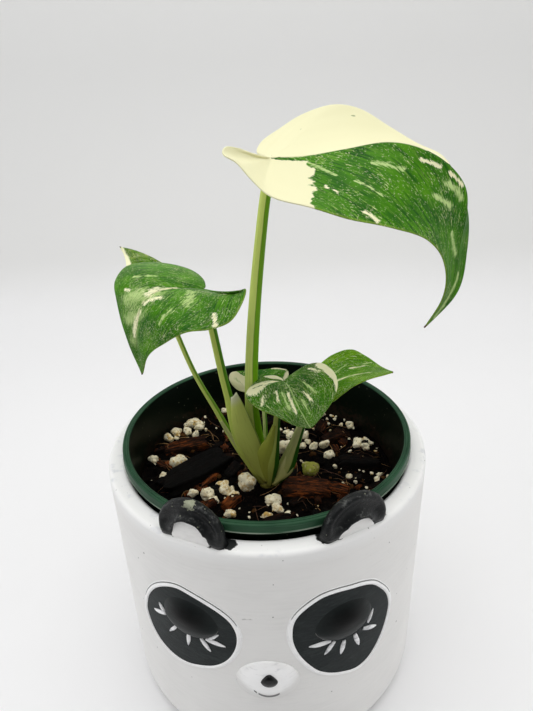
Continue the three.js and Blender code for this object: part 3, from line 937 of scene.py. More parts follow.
@dataclass(frozen=True)
class MuzzlePaint:
    """White muzzle paint with a thin painted smile, a painted highlight up top and painted shade at its
    edges.
    """

    white: Colour = srgb(255, 255, 255)
    wall: Colour = srgb(224, 223, 221)
    grey: Colour = srgb(196, 198, 206)
    black: Colour = srgb(6, 8, 12)
    # Where the painted highlight sits above the muzzle's middle, and how far it reaches.
    highlight_lift: float = 4.0
    highlight_reach: Pair = (11.5, 8.0)
    smile_middle: float = 0.2
    smile_low: float = 40.7
    smile_bend: float = 0.117
    smile_ends: Pair = (-5.4, 3.4)
    gap_middle: float = -4.05
    gap_half: float = 0.25
    thickness: float = 1.0

    def material(self, pot: CoverPot) -> Finish:
        """Builds the paint.

        Args:
            pot: The pot whose radius unrolls the wall.

        Returns:
            The material.
        """
        graph = Graph("muzzle_paint")
        x, y, z = graph.split(graph.place())
        arc = x.angle_to(-y) * pot.radius
        across = arc - self.smile_middle
        curve = abs(z - self.smile_low - across * across * self.smile_bend)
        slim = 1.0 - abs(across).step(1.0, 5.5) * 0.4
        smile = (curve / slim).step(self.thickness * 1.2, self.thickness * 0.8)
        left, right = self.smile_ends
        smile = smile * (across.step(left, left + 0.3) * across.step(right, right - 0.3))
        smile = smile * abs(across - self.gap_middle).step(self.gap_half * 0.7, self.gap_half * 1.3)
        strokes = graph.grain((arc * 0.35, z * 1.3, 0.0), 1.6, 4.0, 0.65)
        upper = z.step(46.0, 52.0) * 0.35 + 0.15
        white = graph.mix(self.white, self.grey, strokes.step(0.56, 0.72) * upper)
        # Painted highlight: pure white above the muzzle's middle, fading to a darker wall white as painted
        # shade at its edges.
        off_side = (arc - pot.muzzle_centre[0]) / self.highlight_reach[0]
        off_up = (z - pot.muzzle_centre[1] - self.highlight_lift) / self.highlight_reach[1]
        away = (off_side * off_side + off_up * off_up).root() + (strokes - 0.5) * 0.5
        white = graph.mix(white, self.wall, away.step(0.55, 1.1))
        colour = graph.mix(white, self.black, smile)
        return graph.finish(colour, 0.34, 1.0, Normal=graph.bump(strokes - smile * 0.3, 0.14, 0.9))


@dataclass(frozen=True)
class MouldedPlastic:
    """Thin moulded green plastic: dusty where the mix touched it, painted shade inside, a painted highlight
    on its lip.
    """

    green: Colour = srgb(44, 80, 56)
    deep: Colour = srgb(30, 62, 42)
    dark: Colour = srgb(2, 14, 5)
    scuff: Colour = srgb(84, 114, 92)
    soil: Colour = srgb(34, 24, 18)
    lip_highlight: Colour = srgb(158, 170, 154)
    dust: Colour = srgb(150, 150, 130)
    unrolled_radius: float = 50.0

    def material(self, pot: NurseryPot, soil_level: float) -> Finish:
        """Builds the plastic.

        Args:
            pot: The pot whose sizes place the marks.
            soil_level: The height above which dust thins out.

        Returns:
            The material.
        """
        graph = Graph("moulded_plastic")
        place = graph.place()
        x, y, z = graph.split(place)
        radius = (x * x + y * y).root()
        turn = x.angle_to(-y) * self.unrolled_radius
        clouds = graph.grain(place, 14.0)
        colour = graph.mix(self.green, self.deep, clouds.step(0.35, 0.75))
        inside = radius.step(pot.inner_top + 0.9, pot.inner_top + 0.3) * z.step(pot.top - 0.1, pot.top - 0.8)
        # Painted shade: the inside wall is painted near-black green.
        colour = graph.mix(colour, self.dark, inside)
        rings = graph.grain((turn * 0.06, radius * 2.0, z * 2.0), 0.9)
        scuffs = rings.step(0.58, 0.75) * z.step(107.0, 109.0)
        colour = graph.mix(colour, self.scuff, scuffs * 0.4 * (1 - inside))
        # Painted highlight: a pale, broken line along the lip's lower edge.
        lip = pot.top - pot.lip_drop
        bead = z.step(lip + 0.8, lip + 0.4) * radius.step(pot.rim_radius - 0.7, pot.rim_radius - 0.4)
        colour = graph.mix(colour, self.lip_highlight, bead * rings.step(0.3, 0.6) * 0.9)
        crumbs = graph.grain(place, 2.0, 4.0, 0.75)
        low = z.step(soil_level + 13.0, soil_level)
        colour = graph.mix(colour, self.soil, (crumbs + low * 0.2).step(0.64, 0.7) * inside * low)
        dust = graph.cells(place, 2.3).step(0.14, 0.07) * graph.grain(place, 7.0, 1.0).step(0.52, 0.6)
        colour = graph.mix(colour, self.dust, dust * inside * 0.5)
        normal = graph.bump(rings * 0.5 + graph.grain(place, 1.2) * 0.2, 0.06, 0.6)
        return graph.finish(colour, 0.36 + clouds * 0.12 + scuffs * 0.15, 0.14, Normal=normal)


@dataclass(frozen=True)
class LooseMix:
    """Dark, moist potting mix."""

    dark: Colour = srgb(2, 1, 1)
    brown: Colour = srgb(20, 12, 7)
    pale: Colour = srgb(96, 64, 34)

    def material(self, name: str) -> Finish:
        """Builds the mix.

        Args:
            name: The material's name.

        Returns:
            The material.
        """
        graph = Graph(name)
        place = graph.place()
        coarse = graph.grain(place, 5.0, 4.0, 0.65)
        fine = graph.grain(place, 0.9, 5.0, 0.8)
        colour = graph.mix(self.dark, self.brown, (coarse * 0.5 + fine * 0.6).step(0.5, 0.75))
        colour = graph.mix(colour, self.pale, fine.step(0.6, 0.72) * 0.6)
        colour = graph.mix(colour, self.pale, graph.tone().step(0.84, 0.92) * (0.4 + fine * 0.8))
        return graph.finish(colour, 0.85, 0.06, Normal=graph.bump(fine + coarse, 0.8))


@dataclass(frozen=True)
class SplitBark:
    """Bark chips, fibrous along their length, from black to reddish brown."""

    black: Colour = srgb(3, 2, 1)
    brown: Colour = srgb(46, 24, 11)
    red: Colour = srgb(146, 76, 32)

    def material(self) -> Finish:
        """Builds the bark.

        Returns:
            The material.
        """
        graph = Graph("split_bark")
        along, across, _ = graph.split(graph.own_map("grain"))
        tone = graph.tone()
        fibres = graph.grain((along * 0.2, across * 1.7, tone * 50.0), 0.7, 5.0, 0.75)
        bands = graph.grain((along * 0.15, across * 0.5, tone * 50.0), 1.8)
        colour = graph.mix(self.black, self.brown, (fibres + bands * 0.5 + tone * 0.35).step(0.8, 1.1))
        colour = graph.mix(colour, self.red, (fibres * 1.3 + bands * 0.7 + tone * 0.55).step(1.42, 1.7))
        cracks = graph.grain((along * 0.25, across * 1.1, tone * 31.0), 1.0, 2.0).step(0.42, 0.36)
        colour = graph.mix(colour, self.black, cracks * 0.8)
        return graph.finish(colour, 0.75, 0.1, Normal=graph.bump(fibres + bands - cracks, 0.7))


@dataclass(frozen=True)
class PuffedPerlite:
    """Cream puffed grains with dark pits and brown stains, and one that has turned mossy."""

    white: Colour = srgb(248, 240, 210)
    grey: Colour = srgb(222, 204, 160)
    ochre: Colour = srgb(200, 158, 66)
    moss: Colour = srgb(150, 158, 58)
    pit: Colour = srgb(60, 42, 26)

    def material(self) -> Finish:
        """Builds the grains' finish.

        Returns:
            The material.
        """
        graph = Graph("puffed_perlite")
        place = graph.place()
        tone = graph.tone()
        mottle = graph.grain(place, 1.6, 4.0, 0.65)
        colour = graph.mix(self.white, self.grey, mottle.step(0.42, 0.7))
        colour = graph.mix(colour, self.ochre, (mottle * 0.8 + tone * 0.6).step(0.8, 1.02) * 0.85)
        colour = graph.mix(colour, self.moss, tone.step(0.97, 1.0) * (mottle * 1.7).least(1.0))
        holes = graph.cells(place, 1.2).step(0.26, 0.12) * graph.grain(place, 2.4, 1.0).step(0.46, 0.56)
        colour = graph.mix(colour, self.pit, holes * 0.8)
        dirt = graph.grain(place, 0.9, 4.0, 0.7).step(0.6, 0.74)
        colour = graph.mix(colour, self.pit, dirt * 0.3)
        return graph.finish(colour, 0.8, 0.3, Normal=graph.bump(mottle - holes * 1.2, 0.3, 0.8))


@dataclass(frozen=True)
class DryFibre:
    """Thin roots and bark strands."""

    dark: Colour = srgb(84, 50, 28)
    pale: Colour = srgb(184, 142, 90)

    def material(self) -> Finish:
        """Builds the strands' finish.

        Returns:
            The material.
        """
        graph = Graph("dry_fibre")
        tone = graph.tone()
        mottle = graph.grain(graph.place(), 2.5, 2.0)
        return graph.finish(graph.mix(self.dark, self.pale, (tone + mottle * 0.4).step(0.35, 1.1)), 0.7)


@dataclass(frozen=True)
class StalkSkin:
    """A leaf stalk's skin: a pale face and a green face that meet in a line along it."""

    name: str
    pale: Colour
    green: Colour
    border: float
    foot_reach: float = 0.15
    foot_tone: Colour = srgb(132, 134, 52)
    foot_brown: Colour = srgb(112, 94, 42)
    line: Colour = srgb(52, 96, 18)
    top_tone: Colour = srgb(214, 214, 184)
    top_share: float = 0.0

    def material(self) -> Finish:
        """Builds the skin.

        Returns:
            The material.
        """
        graph = Graph(f"{self.name}_skin")
        across, along, _ = graph.split(graph.own_map("skin"))
        place = graph.place()
        wobble = (graph.grain(place, 8.0, 2.0) - 0.5) * 0.16
        streaks = graph.grain((across * 3.0, along * 1.5, 0.0), 0.35, 4.0, 0.65)
        green_face = (across + wobble).step(self.border - 0.06, self.border + 0.08)
        pale = graph.mix(self.pale, self.green, (streaks - 0.5).step(0.02, 0.3) * 0.7)
        foot = along.step(self.foot_reach * 2, self.foot_reach * 0.5)
        pale = graph.mix(pale, self.foot_tone, foot * 0.6)
        if self.top_share:
            pale = graph.mix(pale, self.top_tone, along.step(1 - self.top_share, 1.0) * 0.9)
        colour = graph.mix(pale, self.green, green_face)
        line = abs(across + wobble - self.border).step(0.09, 0.0)
        colour = graph.mix(colour, self.line, line * 0.5)
        brown = along.step(0.1, 0.0) * (streaks + 0.2).least(1.0)
        colour = graph.mix(colour, self.foot_brown, brown * 0.7)
        blotches = graph.grain(place, 3.0).step(0.6, 0.75)
        colour = graph.mix(colour, self.foot_brown, blotches * foot * 0.45)
        normal = graph.bump(streaks + graph.grain(place, 0.7) * 0.3, 0.12, 0.8)
        return graph.finish(colour, 0.4 + streaks * 0.12, 0.15, Normal=normal)


@dataclass(frozen=True)
class Band:
    """A cream area over one half of a blade, from its notch to a share of the margin, plus its slant."""

    half: Half
    until: float
    ragged: float = 1.0
    slant: float = 0.0


@dataclass(frozen=True)
class Stroke:
    """A ragged mark along a line on a blade.

    Its ends are shares across the blade, signed by the half, and along its margin.
    """

    start: Pair
    end: Pair
    width: float
    tint: Tint = Tint.CREAM
    ragged: float = 1.0
    strength: float = 1.0


@dataclass(frozen=True)
class Variegation:
    """A blade's skin: green with fine specks and flecks along its veins, and its pale marks."""

    name: str
    bands: tuple[Band, ...]
    strokes: tuple[Stroke, ...]
    specks: float = 0.5
    flecks: float = 0.5
    lean: float = 0.4
    ribs: int = 9
    light_green: Colour = srgb(74, 134, 12)
    green: Colour = srgb(36, 94, 10)
    deep: Colour = srgb(20, 70, 16)
    cream: Colour = srgb(240, 238, 198)
    pale: Colour = srgb(164, 190, 96)
    mark: Colour = srgb(182, 206, 134)
    margin: Colour = srgb(164, 186, 80)
    tip: Colour = srgb(92, 62, 44)
    under: Colour = srgb(160, 182, 122)

    def _green(self, graph: Graph, streak_x: Wire, streak_y: Wire, place: Wire) -> Wire:
        """The green with its specks and flecks.

        Args:
            graph: The material's graph.
            streak_x: The distance along the veins.
            streak_y: The distance across the veins.
            place: The place in space.

        Returns:
            The colour.
        """
        clouds = graph.grain(place, 9.0)
        veins = graph.grain((streak_x * 0.08, streak_y * 0.6, 1.0), 1.0)
        green = graph.mix(self.green, self.light_green, (clouds * 0.6 + veins * 0.5).step(0.42, 0.72))
        green = graph.mix(green, self.deep, veins.step(0.5, 0.34) * 0.7)
        haze = graph.grain((streak_x * 0.1, streak_y * 0.45, 3.0), 1.0, 4.0, 0.6)
        colour = graph.mix(green, self.pale, haze.step(0.56, 0.72) * self.flecks * 0.55)
        low = 0.06 * self.flecks
        fleck_noise = graph.grain((streak_x * 0.17, streak_y * 0.7, 7.0), 1.0, 4.0, 0.6)
        colour = graph.mix(colour, self.pale, fleck_noise.step(0.68 - low, 0.71 - low) * 0.8)
        colour = graph.mix(colour, self.cream, fleck_noise.step(0.715 - low, 0.745 - low) * 0.9)
        density = graph.grain(place, 6.0) * 0.26 - 0.14 + 0.07 * self.specks
        speck_noise = graph.grain((streak_x * 0.42, streak_y * 1.35, 11.0), 1.0, 2.0, 0.5)
        colour = graph.mix(colour, self.pale, (speck_noise + density).step(0.655, 0.715) * 0.55)
        dot_noise = graph.grain((streak_x * 0.95, streak_y * 2.2, 17.0), 1.0, 1.0, 0.5)
        return graph.mix(colour, self.cream, (dot_noise + density).step(0.685, 0.735) * 0.7)

    def material(self, blade: Blade, underside: bool = False) -> Finish:
        """Builds the skin of one face of the blade.

        Args:
            blade: The blade that it covers.
            underside: Whether it is the duller lower face.

        Returns:
            The material.
        """
        graph = Graph(f"{self.name}_{'underside' if underside else 'skin'}")
        across, along, _ = graph.split(graph.own_map("share"))
        streak_x, streak_y, _ = graph.split(graph.own_map("streak"))
        flat = graph.own_map("flat")
        place = graph.place()
        colour = green = self._green(graph, streak_x, streak_y, place)
        fingers = graph.grain((streak_x * 0.3, streak_y * 1.2, 23.0), 1.0, 4.0, 0.65) - 0.5
        nibbles = graph.grain(place, 2.2, 4.0, 0.7) - 0.5
        scallops = graph.grain(place, 5.0) - 0.5
        bare = 1.0
        for band in self.bands:
            outer = -0.004 if band.half is Half.FIRST else 0.004
            frayed = (scallops * 0.1 + nibbles * 0.03 + fingers * 0.015) * band.ragged
            reach = along - abs(across) * band.slant + frayed
            covered = reach.step(band.until + 0.003, band.until - 0.003) * across.step(-outer, outer)
            colour = graph.mix(colour, self.cream, covered)
            bare = (1.0 - covered) * bare
        tints = {Tint.CREAM: self.cream, Tint.PALE: self.mark, Tint.GREEN: green}
        for stroke in self.strokes:
            away = graph.capsule(flat, blade.flat_place(*stroke.start), blade.flat_place(*stroke.end))
            depth = 1.0 - away / stroke.width - (fingers * 6.5 + nibbles * 2.6) * stroke.ragged
            soft = (-0.4, 0.8) if stroke.tint is Tint.PALE else (-0.12 / stroke.width, 0.12 / stroke.width)
            colour = graph.mix(colour, tints[stroke.tint], depth.step(*soft) * stroke.strength)
        edge = abs(across).step(0.97, 0.995)
        colour = graph.mix(colour, self.margin, edge * bare * 0.35)
        colour = graph.mix(colour, self.tip, along.step(0.985, 0.996))
        waves = (along * 2 * math.pi * self.ribs - abs(across) * self.lean * 2 * math.pi * self.ribs).sine()
        relief = waves.step(0.75, 1.0) * -0.22 * bare + graph.grain(place, 0.35, 2.0) * 0.12
        normal = graph.bump(relief - abs(across).step(0.03, 0.0) * 0.3, 0.22, 0.7)
        if underside:
            return graph.finish(graph.mix(colour, self.under, 0.3), 0.55, 0.08, Normal=normal)
        return graph.finish(colour, 0.44 + nibbles * 0.1, 0.08, Normal=normal)


@dataclass(frozen=True)
class Lash:
    """One raised lash on the unrolled wall."""

    root: Pair
    tip: Pair
    width: float


@dataclass(frozen=True)
class Eye:
    """One closed eye: its black patch, raised border, lid and lashes, on the unrolled wall."""

    side: Side
    outline: tuple[Pair, ...]
    lid_centre: Pair
    lashes: tuple[Lash, ...]
    lid_radii: Pair = (11.3, 8.7)
    lid_rise: float = 3.0
    steps: int = 160

    def rim(self) -> tuple[np.ndarray, np.ndarray]:
        """Runs a smooth line round the patch.

        Returns:
            The line's points and its outward directions.
        """
        curve = SmoothCurve([(arc, 0.0, height) for arc, height in self.outline], closed=True)
        rim = curve.at(np.arange(self.steps) / self.steps)
        heading = unit(np.roll(rim, -1, axis=0) - np.roll(rim, 1, axis=0))
        outward = np.stack([-heading[:, 2], np.zeros(self.steps), heading[:, 0]], axis=1)
        return rim, outward * np.sign(np.sum(outward * (rim - rim.mean(axis=0))))


EYES = (
    Eye(
        Side.LEFT,
        (
            (-50.6, 58.5), (-49.3, 64), (-46.8, 69.7), (-41.2, 77), (-35.6, 81.2), (-30.4, 83.1),
            (-24.8, 82.1), (-19.8, 80.2), (-15.4, 77.6), (-12.2, 74.3), (-10.2, 68.8), (-10.4, 63.4),
            (-11.8, 58.7), (-14.7, 53.7), (-19.2, 49.5), (-25.2, 46.7), (-32, 44.6), (-38.5, 44.8),
            (-44.5, 47.2), (-48.6, 51.6),
        ),
        (-27.6, 70.7),
        (
            Lash((-38.6, 65.6), (-45.2, 63.3), 0.6),
            Lash((-38.9, 66.4), (-41.3, 69.6), 0.5),
            Lash((-33.8, 62.6), (-37.8, 57.1), 0.55),
            Lash((-28.3, 62.8), (-29.4, 55.3), 0.65),
            Lash((-23.6, 62.2), (-20.2, 56.6), 0.65),
            Lash((-21.6, 62.9), (-14.4, 61.2), 0.65),
            Lash((-20.4, 63.4), (-16.6, 66.6), 0.6),
        ),
    ),
    Eye(
        Side.RIGHT,
        (
            (8.4, 67.4), (8.9, 73.5), (10.6, 77.3), (13.9, 80.7), (18.7, 83.5), (23.7, 83.9), (29.1, 83),
            (33.7, 81.9), (38.2, 79.6), (42.4, 75), (46.3, 69), (48.2, 62.5), (47.6, 56.5), (45.8, 50.8),
            (42.5, 45.3), (38.2, 41.2), (33.3, 39.9), (27.6, 41.4), (21.8, 44), (17.5, 47.2), (13.9, 52),
            (10.9, 57.4), (9, 63),
        ),
        (27.4, 69.3),
        (
            Lash((37.2, 61.4), (39.5, 66.8), 0.4),
            Lash((35.2, 59.6), (41.8, 56.4), 0.7),
            Lash((31.6, 59.2), (33.6, 52.0), 0.75),
            Lash((27.2, 58.6), (26.0, 52.0), 0.75),
            Lash((23.4, 60.2), (19.6, 55.0), 0.65),
            Lash((22.0, 61.2), (14.0, 61.0), 0.75),
            Lash((21.4, 62.4), (17.4, 65.8), 0.6),
        ),
    ),
)


@dataclass(frozen=True)
class Ear:
    """One ear: an arched roll with a grooved front, and the disc inside it."""

    name: str
    azimuth: float
    shift: float
    rise: float
    leg: float
    leg_roll: float
    top_roll: float
    chip_place: Point
    chip_radius: float
    width: float = 8.7
    ring: float = 59.0
    foot: float = -1.0
    base: float = 105.0
    disc_radius: float = 6.9
    disc_depth: float = 3.0
    disc_height: float = 1.4
    front_depth: float = 2.7

    SECTION = np.array(
        [
            (-1.0, -1.9), (-1.0, -2.7), (-0.84, -3.0), (-0.66, -2.5), (-0.4, -1.4), (-0.05, -0.8),
            (0.3, -1.0), (0.62, -1.7), (0.86, -1.5), (1.0, -0.6), (1.0, 0.7), (0.85, 1.9), (0.5, 2.6),
            (0.0, 2.75), (-0.5, 2.6), (-0.85, 2.0), (-1.0, 0.6),
        ]
    )

    def placed(self, along: np.ndarray, depth: np.ndarray, up: np.ndarray) -> np.ndarray:
        """Finds places in space from distances that start at the arch's foot on the rim.

        Args:
            along: How far along the rim.
            depth: How far towards the pot's middle.
            up: How far above the rim.

        Returns:
            The places.
        """
        turn = math.radians(self.azimuth)
        east = self.ring * math.sin(turn) + along * math.cos(turn) - depth * math.sin(turn)
        north = -self.ring * math.cos(turn) + along * math.sin(turn) + depth * math.cos(turn)
        return np.stack([east, north, self.base + up], axis=-1)

    def spread(self, along: float, depth: float, reach: float) -> Point:
        """A place on the rim, and how far the black paint spreads round it."""
        east, north, _ = self.placed(np.array(along), np.array(depth), np.array(0.0))
        return float(east), float(north), reach

    def feet(self) -> list[Point]:
        """Where the ear's feet stand and how far the black spreads round each."""
        sides = (self.shift - self.width, self.shift + self.width)
        return [self.spread(side, 1.2, self.leg_roll + 0.5) for side in sides]

    def _path(self) -> list[tuple[float, ...]]:
        """The roll's middle line.

        Returns:
            For each point, its place along the rim, its height and the direction away from the arch.
        """
        legs = np.linspace(self.foot, self.leg, 9, endpoint=False)
        sweep = []
        for angle in np.linspace(math.pi, 0, 52):
            away = unit(np.array([math.cos(angle) / self.width, math.sin(angle) / self.rise]))
            sweep.append((self.width * math.cos(angle), self.leg + self.rise * math.sin(angle), *away))
        left = [(-self.width, height, -1.0, 0.0) for height in legs]
        return [*left, *sweep, *((self.width, height, 1.0, 0.0) for height in reversed(legs))]

    def _roll(self) -> Piece:
        """The arched roll: round behind, and grooved in front, where the groove fills in at the feet.

        Returns:
            The roll.
        """
        side, front = self.SECTION.T
        rings = []
        for along, up, lean_along, lean_up in self._path():
            height = max(0.0, (up - self.leg) / self.rise)
            roll = self.leg_roll + (self.top_roll - self.leg_roll) * height**1.5
            spread = math.exp(-(((up - self.foot) / 2.6) ** 2))
            filled = 0.85 * float(np.clip((6.0 - up) / 4.5, 0.0, 1.0))
            radial = side * roll * (1 + 0.14 * spread)
            groove = front * (1 - filled) - self.front_depth * (1 - side**4) * filled
            depth = np.where(front < 0, groove, front * (1 - 0.12 * spread)) + 1.3 * spread
            rings.append(self.placed(self.shift + along + radial * lean_along, depth, up + radial * lean_up))
        points = np.vstack(rings)
        uneven = 0.16 * wander(points, 2.8, self.azimuth) + 0.08 * wander(points, 1.0, self.azimuth + 4)
        points += uneven[:, None]
        piece = whole_piece(self.name, points, tube_faces(len(rings) - 1, len(side)))
        modify("SUBSURF", levels=2, render_levels=2)
        return piece

    def _disc(self) -> Piece:
        """The disc in the ear's opening.

        Returns:
            The disc.
        """
        deselect_all()
        bpy.ops.mesh.primitive_cylinder_add(
            vertices=72,
            radius=self.disc_radius * MM,
            depth=self.disc_depth * MM,
            location=tuple(self.placed(np.array(self.shift), np.array(0.0), np.array(self.disc_height)) * MM),
            rotation=(math.pi / 2, 0, math.radians(self.azimuth)),
        )
        piece = settle(f"{self.name}_disc")
        with editing():
            bpy.ops.mesh.bevel(offset=0.35 * MM, segments=3, affect="EDGES")
        bpy.ops.object.shade_smooth_by_angle(angle=math.radians(40))
        return piece

    def build(self, white: Finish) -> None:
        """Makes the ear with its disc in this white paint."""
        dress_cast(self._roll(), EarPaint().material(f"{self.name}_paint", self.chip_place, self.chip_radius))
        dress_cast(self._disc(), white)


EARS = (
    Ear("ear_left", -22.3, 0.0, 8.5, 3.4, 2.9, 3.4, (-21.9, -55.7, 119.5), 2.1),
    Ear("ear_right", 28.8, 0.6, 8.3, 1.6, 3.4, 4.3, (40.0, -46.0, 119.0), 0.6),
)


@dataclass
class CoverPot:
    """The cast and painted cover pot with its sleeping face and ears."""

    radius: float = 62.0
    height: float = 105.0
    inner_radius: float = 55.0
    floor: float = 10.0
    base_fillet: float = 8.5
    floor_fillet: float = 4.0
    rim_rounding: float = 1.8
    skirt: Point = (11.4, 2.2, 2.6)
    groove_shadow_out: float = 1.3
    muzzle_centre: Pair = (-0.4, 45.4)
    muzzle_radii: Pair = (11.3, 10.4)
    muzzle_rise: float = 3.5
    nose_centre: Pair = (0.2, 49.3)
    nose_radii: Point = (2.75, 1.5, 2.9)
    nose_lift: float = 2.7

    BORDER = (
        (-0.2, -0.35), (-0.12, 0.25), (0.15, 0.58), (0.6, 0.65), (1.0, 0.45), (1.2, 0.12), (1.38, 0.08),
        (1.55, 0.14), (1.75, 0.06), (1.85, -0.35),
    )

    def wrapped(self, points: np.ndarray) -> np.ndarray:
        """Wraps points of the unrolled wall onto it.

        Args:
            points: Arc length, lift off the wall as -Y, and height.

        Returns:
            The places in space.
        """
        angle = points[..., 0] / self.radius
        radius = self.radius - points[..., 1]
        return np.stack([radius * np.sin(angle), -radius * np.cos(angle), points[..., 2]], axis=-1)

    def foot_places(self) -> list[Point]:
        """Where the ears' feet stand on the rim, and how far the black spreads round them."""
        return [*EARS[0].feet(), *EARS[1].feet(), EARS[0].spread(*self.skirt)]

    def _casting(self) -> Piece:
        """The pot's turned body, a little uneven from the mould.

        Returns:
            The body.
        """
        wall_top = self.height - self.rim_rounding
        floor_corner = (self.inner_radius - self.floor_fillet, self.floor + self.floor_fillet)
        profile = [
            (0, 0),
            (30, 0),
            *arc_points((self.radius - self.base_fillet, self.base_fillet), self.base_fillet, -90, 0, 10),
            *((self.radius, height) for height in (16, 24, 32, 42, 52, 62, 72, 82, 90, 97)),
            *arc_points((self.radius - self.rim_rounding, wall_top), self.rim_rounding, 0, 90, 6),
            *arc_points((self.inner_radius + self.rim_rounding, wall_top), self.rim_rounding, 90, 180, 6),
            (self.inner_radius, 70),
            (self.inner_radius, 30),
            *arc_points(floor_corner, self.floor_fillet, 0, -90, 4),
            (0, self.floor),
        ]
        piece = spin_profile("cover_pot_casting", profile, 200)
        points = read_points(piece)
        outside = (np.linalg.norm(points[:, :2], axis=1) > 58) & (points[:, 2] > 9)
        points += unit(points * np.array([1, 1, 0])) * (0.05 * wander(points, 30, 2.0) * outside)[:, None]
        write_points(piece, points)
        return piece

    def _patch(self, eye: Eye) -> Piece:
        """The black patch of one eye, as a thin coat on the wall.

        Args:
            eye: The eye.

        Returns:
            The patch.
        """
        rim, _ = eye.rim()
        middle = rim.mean(axis=0)
        coats = [(share, -0.14) for share in np.linspace(0.02, 1, 16)] + [(1.0, 0.3), (0.5, 0.3), (0.02, 0.3)]
        rings = [middle + (rim - middle) * share + np.array([0, lift, 0]) for share, lift in coats]
        faces = tube_faces(len(rings) - 1, eye.steps)
        piece = whole_piece(f"eye_patch_{eye.side.value}", self.wrapped(np.vstack(rings)), faces)
        bpy.ops.object.shade_smooth_by_angle(angle=math.radians(40))
        return piece

    def _border(self, eye: Eye) -> tuple[Piece, Piece]:
        """The raised double border of one eye patch, broader along its top, and a painted shadow in its
        groove.

        Args:
            eye: The eye.

        Returns:
            The border and the line.
        """
        rim, outward = eye.rim()
        breadth = (1.0 + 0.22 * outward[:, 2] + 0.06 * wander(rim, 9.0, 3.0))[:, None]
        rings = [rim + outward * out * breadth - np.array([0, lift, 0]) for out, lift in self.BORDER]
        closed = np.stack([*rings, rings[0]], axis=1)
        closed = np.concatenate([closed, closed[:1]])
        faces = grid_faces(eye.steps, len(self.BORDER))
        border = whole_piece(f"eye_border_{eye.side.value}", self.wrapped(closed.reshape(-1, 3)), faces)
        # A grey cord along the top of the border only, as painted shadow in its groove.
        above = np.flatnonzero(outward[:, 2] > 0.35)
        turn = int(np.argmax(np.diff(above))) + 1 if np.diff(above).max() > 1 else 0
        contour = (rim + outward * self.groove_shadow_out * breadth)[np.roll(above, -turn)]
        contour[:, 1] = -0.22
        return border, self._cord(f"groove_shadow_{eye.side.value}", contour, 0.16)

    def _dome(self, name: str, centre: Pair, radii: Pair, rise: float, powers: Pair) -> Piece:
        """A form that swells out of the wall.

        Args:
            name: Its name.
            centre: Its middle on the unrolled wall.
            radii: Its reach along the wall and up it.
            rise: How far its middle stands out.
            powers: How it falls off below and above. 0.5 ends in an edge and more than 1 fades out.

        Returns:
            The piece.
        """
        deselect_all()
        bpy.ops.mesh.primitive_uv_sphere_add(segments=128, ring_count=64, radius=MM)
        piece = settle(name)
        points = read_points(piece)
        high = np.clip(0.5 + points[:, 2] * 1.3, 0, 1)
        power = powers[0] + (powers[1] - powers[0]) * high * high * (3 - 2 * high)
        inside = np.maximum(0, 1 - points[:, 0] ** 2 - points[:, 2] ** 2)
        lift = np.where(points[:, 1] < 0, rise * inside**power, -0.3 * inside)
        arc, height = centre[0] + radii[0] * points[:, 0], centre[1] + radii[1] * points[:, 2]
        write_points(piece, self.wrapped(np.stack([arc, -lift, height], axis=1)))
        bpy.ops.object.shade_smooth()
        return piece

    def _lid_line(self, eye: Eye) -> Piece:
        """The line along the lower edge of one eyelid.

        Args:
            eye: The eye.

        Returns:
            The line.
        """
        angles = np.linspace(math.radians(195), math.radians(345), 60)
        arc = eye.lid_centre[0] + (eye.lid_radii[0] + 0.05) * np.cos(angles)
        height = eye.lid_centre[1] + (eye.lid_radii[1] + 0.05) * np.sin(angles)
        flat = np.stack([arc, np.full(len(arc), -0.2), height], axis=1)
        return self._cord(f"lid_line_{eye.side.value}", flat, 0.17)

    def _cord(self, name: str, flat: np.ndarray, radius: float) -> Piece:
        """A thin raised line on the unrolled wall, wrapped onto it.

        Args:
            name: Its name.
            flat: Its middle line on the unrolled wall.
            radius: Its radius.

        Returns:
            The piece.
        """
        sides, steps = 6, len(flat) - 1
        outward = np.array([0.0, 1.0, 0.0])
        beside = unit(np.cross(np.gradient(flat, axis=0), outward))
        slim = (radius * np.sin(np.linspace(0.25, math.pi - 0.25, steps + 1)) ** 0.5)[:, None]
        angles = [corner * 2 * math.pi / sides for corner in range(sides)]
        rings = [flat + (beside * math.cos(angle) + outward * math.sin(angle)) * slim for angle in angles]
        points = np.stack(rings, axis=1).reshape(-1, 3)
        return whole_piece(name, self.wrapped(points), tube_faces(steps, sides))

    def _lash(self, lash: Lash) -> Piece:
        """One lash, blunt at its root, broadest at its middle and pointed.

        Args:
            lash: Its place and width.

        Returns:
            The piece.
        """
        deselect_all()
        quarter = (0, math.pi / 2, 0)
        bpy.ops.mesh.primitive_uv_sphere_add(segments=20, ring_count=20, radius=MM, rotation=quarter)
        piece = settle("lash")
        points = read_points(piece)
        along = (points[:, 0] + 1) / 2
        girth = np.maximum(np.linalg.norm(points[:, 1:], axis=1), 1e-6)
        breadth = np.sqrt(np.clip(1 - along**3, 0, 1)) * (0.85 + 0.45 * np.sin(math.pi * along))
        sway = 0.25 * lash.width * wander(points * np.array([1.0, 0, 0]), 0.7, lash.root[0])
        across = points[:, 2] / girth * breadth * lash.width + sway
        lift = -points[:, 1] / girth * breadth * 0.5 + 0.25
        start, run = np.array(lash.root), np.array(lash.tip) - np.array(lash.root)
        heading = unit(run)
        arc = start[0] + along * run[0] - across * heading[1]
        height = start[1] + along * run[1] + across * heading[0]
        write_points(piece, self.wrapped(np.stack([arc, -lift, height], axis=1)))
        return piece

    def _lashes(self, eye: Eye) -> Piece:
        """The lashes of one eye, joined into one piece.

        Args:
            eye: The eye.

        Returns:
            The piece.
        """
        lashes = [self._lash(lash) for lash in eye.lashes]
        choose(lashes[0])
        for lash in lashes:
            lash.select_set(True)
        bpy.ops.object.join()
        lashes[0].name = f"lashes_{eye.side.value}"
        bpy.ops.object.shade_smooth()
        return lashes[0]

